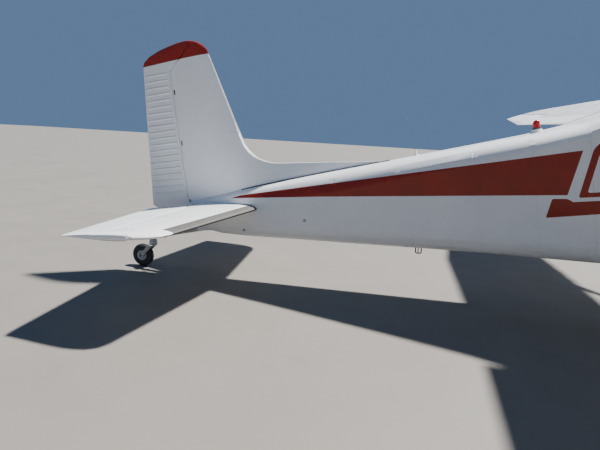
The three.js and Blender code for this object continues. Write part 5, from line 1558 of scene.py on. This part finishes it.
rivets = []
for side in (1, -1):
    for line, aft, high in ((hinge_station, 0.036, 1.85), (rudder_rear, -0.022, 1.9)):
        ends = [beside(line, height, aft, side) for height in (0.6, high)]
        rivets += row_along(rudder, *ends, 0.05, inward(side))
fitted(studded("rudder_rivets", dome(*SMALL_RIVET), rivets), fin_paint, "rudder_set", "white_paint")

for piece, name, body in [(fin, "fin", "airframe"), (rudder, "rudder", "rudder_set")]:
    fitted(cut_strip(piece, f"{name}_tip_seam", between_levels(1.9545, 1.957), 0.0004), sealant, body,
           "dark_trim")

# Hinge openings: a dark strip laid on the fin's skin at each rudder hinge, painted shade that
# stands for the cut-out, with the head of a small bolt seen on each side.
opening_shades = []
bolts = []
fin_sides = copied(fin, "fin_sides")
edit_faces(fin_sides, lambda face: abs(face.normal.y) < 0.7)
bpy.ops.mesh.delete(type="FACE")
leave()
HINGES = ((0.555, 0.012), (1.146, 0.024), (1.652, 0.024))
for height, tall in HINGES:
    station = hinge_station(height)
    cuts = between_levels(height - tall, height + tall) + between_stations(station - 0.024, station - 0.004)
    opening_shades.append(cut_strip(fin_sides, "opening", cuts, 0.0006))
    for side in (1, -1):
        bolt = turned([(0, 0.004), (0.0035, 0.004), (0.004, 0.0032), (0.004, 0.0012), (0.006, 0.0008),
                       (0.006, -0.001), (0, -0.001)], 6)
        bolts.append(hung_on(bolt, *touching(fin, at(station - 0.021, side, height), inward(side))))
bpy.data.objects.remove(fin_sides)
fitted(joined("rudder_hinge_opening_shades", opening_shades), sealant, "airframe", "dark_trim")
assembled("rudder_hinge_bolts", bolts, 20, bare_steel, "airframe", "bare_metal")

# White tail lamp low on the rudder's rear edge: a rounded clear lens in a short metal collar
# that rides with the rudder.
lamp = turned([(0.0, 0.034), (0.008, 0.032), (0.014, 0.024), (0.0165, 0.012), (0.017, 0.0)], 20,
              (-1, 0, -0.02), at(5.985, 0, 0.4))
collar = turned([(0.01, -0.012), (0.021, -0.012), (0.0215, 0.002), (0.0185, 0.006), (0.017, 0.0)], 20,
                (-1, 0, -0.02), at(5.985, 0, 0.4))
assembled("tail_lamp_lens", [lamp], 32, clear_lens, "rudder_set", "clear_panel")
assembled("tail_lamp_collar", [collar], 32, bare_steel, "rudder_set", "bare_metal")


# Stabilizer and elevators: riveted sheet halves. The leading edge wears a grey abrasion strip,
# and below it a black strip paints the shade on the leading edge's underside. Rubber seals the
# root. The elevators' skins are beaded.
def tail_chord(station):
    return 0.483 + (station - 5.65) * 0.122


TILT = math.atan(0.122)
CHORD_UP = Vector((math.sin(TILT), 0, math.cos(TILT)))
strip_grey = finish("abrasion_strip", (0.085, 0.08, 0.072), (0.068, 0.064, 0.058), 8, (0.5, 0.65), 500,
                    0.0003)
elevator = skin_of("elevators", "elevator_skin")
ELEVATOR_END = 1.639
ROUNDED_TO = 5.7
for side in (1, -1):
    def on_end(face):
        return side * face.center.y > ELEVATOR_END and side * face.normal.y > 0.9

    edit_faces(elevator, on_end)
    bpy.ops.mesh.bisect(plane_co=SET_DOWN @ at(ROUNDED_TO, 0, 0), plane_no=TURN_DOWN @ FORWARD)
    leave()
    edit_faces(elevator, lambda face: on_end(face) and -(LEVEL @ face.center).x < ROUNDED_TO)
    for wide, proud in ((0.003, 0.0035), (0.005, 0.0025), (0.006, 0.001)):
        bpy.ops.mesh.inset(thickness=wide, depth=proud)
    leave()
elevator = fitted(smoothed(elevator), plain_white, "elevator_set", "white_paint", "elevators")
beads = []
for side, mark in SIDES:
    half = smoothed(skin_of(f"stabilizer_{side}", f"stabilizer_skin_{side}"))
    fitted(half, plain_white, "airframe", "white_paint", f"stabilizer_{side}")
    sweep = Vector((-1.445, -0.19 * mark, 0)).normalized()

    def edge_cuts(width, inner, outer):
        return [(at(4.978 + width, 0.04 * mark, 0), sweep)] + between_sides(mark, inner, outer)

    chord = at(5.65, 0, 0.483)
    strip = cut_strip(half, f"abrasion_strip_{side}", edge_cuts(0.082, 0.166, 1.452) + [(chord, -CHORD_UP)],
                      0.0004, 0.0014)
    fitted(strip, strip_grey, "airframe", "dark_trim")
    # A black strip along the underside of the leading edge paints its shade.
    under = cut_strip(half, f"leading_edge_painted_shade_{side}", edge_cuts(0.03, 0.166, 1.462) + [(chord, CHORD_UP)],
                      0.0004, 0.002)
    fitted(under, rubber, "airframe", "black_rubber")
    cap = cut_strip(half, f"strip_end_{side}", edge_cuts(0.088, 0.15, 0.166), 0.0004, 0.003)
    fitted(cap, rubber, "airframe", "black_rubber")
    rivets = []
    for look in (DOWN, SKYWARD):
        start = -look.z * 0.5 + 0.45
        for y in (0.22, 0.5, 0.8, 1.1, 1.4):
            front = 4.978 + (y - 0.04) * 0.1315 + 0.11
            rivets += row_along(half, at(front, y * mark, start), at(5.6, y * mark, start), 0.05, look)
        for station in (5.595, 5.36):
            rivets += row_along(half, at(station, 0.2 * mark, start), at(station, 1.44 * mark, start), 0.045,
                                look)
    fitted(studded(f"stabilizer_rivets_{side}", dome(*SMALL_RIVET), rivets), plain_white, "airframe",
           "white_paint")
    for i in range(17):
        y = 0.25 + 0.072 * i
        rear = 6.11 - (y - 0.25) * 0.108 - 0.04
        beads.append(bead_on(elevator, f"bead_{i}", at(5.9, y * mark, 0), LEFT, 0.008, 0.0022,
                             between_stations(5.7, rear)))
fitted(beaded("elevator_beads", beads), plain_white, "elevator_set", "white_paint")

# Stabilizer root seals: a thin rubber gasket laid round each half where it passes into the rear
# fuselage.
gaskets = []
for mark in (1, -1):
    line = []
    for share in [i / 12 for i in range(1, 13)]:
        station = 4.992 + share * 0.62
        for up in ((1,) if share < 1 else (1, -1)):
            rise = 0.043 * up * math.sqrt(min(1, share * 6)) * (1.1 - share * 0.5)
            found = touching(rear_body, at(station, 0.6 * mark, tail_chord(station) + rise), inward(mark))
            if found:
                line.append(found[0])
    gaskets.append(hose(line, 0.0028, 8))
assembled("stabilizer_root_seals", gaskets, 32, rubber, "airframe", "black_rubber")


# Tailwheel: a small tyre with two grooves on a cast hub, in a silver steel fork that turns on a
# kingpin at the end of a leaf spring.
silver = finish("silver_paint", (0.46, 0.465, 0.47), (0.36, 0.36, 0.36), 16, (0.35, 0.55), 500, 0.0002,
                Metallic=0.55)
grey_hub = finish("grey_hub_paint", (0.52, 0.53, 0.54), (0.38, 0.385, 0.39), 20, (0.4, 0.6), 600, 0.0002,
                  Metallic=0.15)
TAIL_AXLE = LEVEL @ Vector((-3.7994, 0, 0.125))
tail_tyre = tyre("tail_tyre_tread", 0.0523, 0.125, 0.034, (-0.01, 0.01), TAIL_AXLE, 44)
fitted(tail_tyre, rubber, "tailwheel_roller", "black_rubber", "tail_tyre")

hub = turned([(0.0095, -0.036), (0.018, -0.036), (0.02, -0.029), (0.033, -0.024), (0.04, -0.026),
              (0.047, -0.0335), (0.0545, -0.034), (0.0555, -0.031), (0.052, -0.0262), (0.052, 0.0262),
              (0.0555, 0.031), (0.0545, 0.034), (0.047, 0.0335), (0.04, 0.026), (0.033, 0.024), (0.02, 0.029),
              (0.018, 0.036), (0.0095, 0.036), (0.0095, -0.036)], 40, (0, 1, 0), TAIL_AXLE)
assembled("tailwheel_hub", [hub], 30, grey_hub, "tailwheel_roller", "cast_engine", "tail_wheel")
bolts = []
for side in (1, -1):
    for x, z in round_places(4, 0.0305, 45):
        bolt = turned([(0, 0.006), (0.0038, 0.006), (0.0046, 0.005), (0.0046, 0.001), (0.007, 0.001),
                       (0.007, -0.003), (0, -0.003)], 6)
        bolts.append(hung_on(bolt, TAIL_AXLE + Vector((x, side * 0.0235, z)), LEFT * side))
assembled("tailwheel_hub_bolts", bolts, 20, bare_steel, "tailwheel_roller", "bare_metal")

fork = skin_of("tail_fork", "tailwheel_fork_arms")
fitted(smoothed(rounded(fork, 0.0025, 2, 50)), silver, "tailwheel_fork", "bare_metal", "tail_fork")
nuts = []
for side in (1, -1):
    nut = turned([(0, 0.0035), (0.01, 0.0035), (0.0125, 0.002), (0.0125, -0.006), (0, -0.006)], 6)
    nuts.append(hung_on(nut, TAIL_AXLE + LEFT * side * 0.0545, LEFT * side))
    dust_cap = turned([(0.0125, 0.0), (0.016, 0.0), (0.017, -0.002), (0.017, -0.0095), (0.0125, -0.0095),
                       (0.0125, 0.0)], 24)
    nuts.append(hung_on(dust_cap, TAIL_AXLE + LEFT * side * 0.0436, LEFT * side))
assembled("tailwheel_axle_nuts", nuts, 25, sealant, "tailwheel_fork", "dark_trim")

spring = skin_of("tail_spring", "tail_leaf_spring")
fitted(smoothed(rounded(spring, 0.002, 2, 50)), silver, "airframe", "bare_metal", "tail_spring")
leaves = []
for start, end, drop in [(5.7, 6.1, -0.015), (5.7, 5.95, -0.0218)]:
    ends = [(5.44, 0.238), (5.56, 0.24), (5.9, 0.226), (6.2, 0.212)]
    line = []
    for station in [start + (end - start) * i / 6 for i in range(7)]:
        for (s0, w0), (s1, w1) in zip(ends, ends[1:]):
            if s0 <= station <= s1:
                line.append(at(station, 0, w0 + (w1 - w0) * (station - s0) / (s1 - s0) - drop))
    leaves.append(ribbon(line, Vector((0, 0.047, 0)), 0.0062))
leaves = joined("tail_spring_leaves", leaves)
rounded(leaves, 0.0012, 1, 50)
assembled("tail_spring_leaves", [leaves], 30, silver, "airframe", "bare_metal")

# Spring fairing: a small white shell under the tail that covers the clamped root of the spring
# and narrows towards the front.
fairing = block((0.4, 0.084, 0.05), at(5.53, 0, 0.236))
for vertex in fairing.data.vertices:
    aft = -vertex.co.x > 5.53
    if vertex.co.z < 0.236:
        vertex.co.z = 0.228 if aft else 0.205
        vertex.co.y *= 0.7
    if not aft:
        vertex.co.y *= 0.5
        vertex.co.z += 0.004
with_modifier(fairing, "SUBSURF", levels=2, render_levels=2, subdivision_type="SIMPLE")
rounded(fairing, 0.01, 3, 40)
assembled("tail_spring_fairing", [fairing], 40, plain_white, "airframe", "white_paint")

# Spring clamps: a black strap round the leaf's end, the cap on the kingpin and the four bolts
# that hold its head on the leaf.
strap = block((0.026, 0.06, 0.042), at(6.135, 0, 0.2155), 0.004)
assembled("tail_spring_straps", [strap], 32, rubber, "airframe", "black_rubber")
bolts = []
KINGPIN = LEVEL @ Vector((-3.6754, 0, 0.348))
UPRIGHT = TURN_LEVEL @ SKYWARD
cap = turned([(0, 0.006), (0.01, 0.006), (0.013, 0.003), (0.013, 0.0), (0.0265, 0.0005), (0.0265, -0.012),
              (0, -0.012)], 20)
bolts.append(hung_on(cap, KINGPIN, UPRIGHT))
for x in (-0.042, -0.078):
    for y in (-0.014, 0.014):
        bolt = turned([(0, 0.006), (0.0052, 0.006), (0.006, 0.005), (0.006, 0.0012), (0.009, 0.0012),
                       (0.009, -0.002), (0, -0.002)], 6)
        bolts.append(hung_on(bolt, *touching(spring, at(6.29 + x, y, 0.5), DOWN)))
assembled("kingpin_cap_and_bolts", bolts, 20, bare_steel, "airframe", "bare_metal")

# Swivel housing: a silver casting round the kingpin, and under it the steering arm, a flat plate
# with two eyes that turns with the fork.
housing = turned([(0.0, 0.082), (0.022, 0.082), (0.028, 0.074), (0.03, 0.058), (0.04, 0.04), (0.044, 0.03),
                  (0.045, 0.006), (0.042, 0.0015), (0.0, 0.0015)], 32, UPRIGHT,
                 LEVEL @ Vector((-3.6754, 0, 0.2615)))
assembled("tailwheel_swivel_housing", [housing], 30, silver, "airframe", "bare_metal")
arm = plate([(-0.024, -0.03, 0), (-0.016, -0.078, 0), (0.004, -0.084, 0), (0.02, -0.072, 0),
             (0.034, -0.02, 0), (0.034, 0.02, 0), (0.02, 0.072, 0), (0.004, 0.084, 0), (-0.016, 0.078, 0),
             (-0.024, 0.03, 0)], 0.006, 0.0015)
hung_on(arm, LEVEL @ Vector((-3.6754, 0, 0.257)), UPRIGHT)
eyes = [turned([(0.0045, 0.004), (0.009, 0.004), (0.009, -0.004), (0.0045, -0.004), (0.0045, 0.004)], 16,
               UPRIGHT, LEVEL @ Vector((-3.678, y, 0.2565))) for y in (-0.073, 0.073)]
assembled("tailwheel_steering_arm", [arm] + eyes, 30, silver, "tailwheel_fork", "bare_metal")
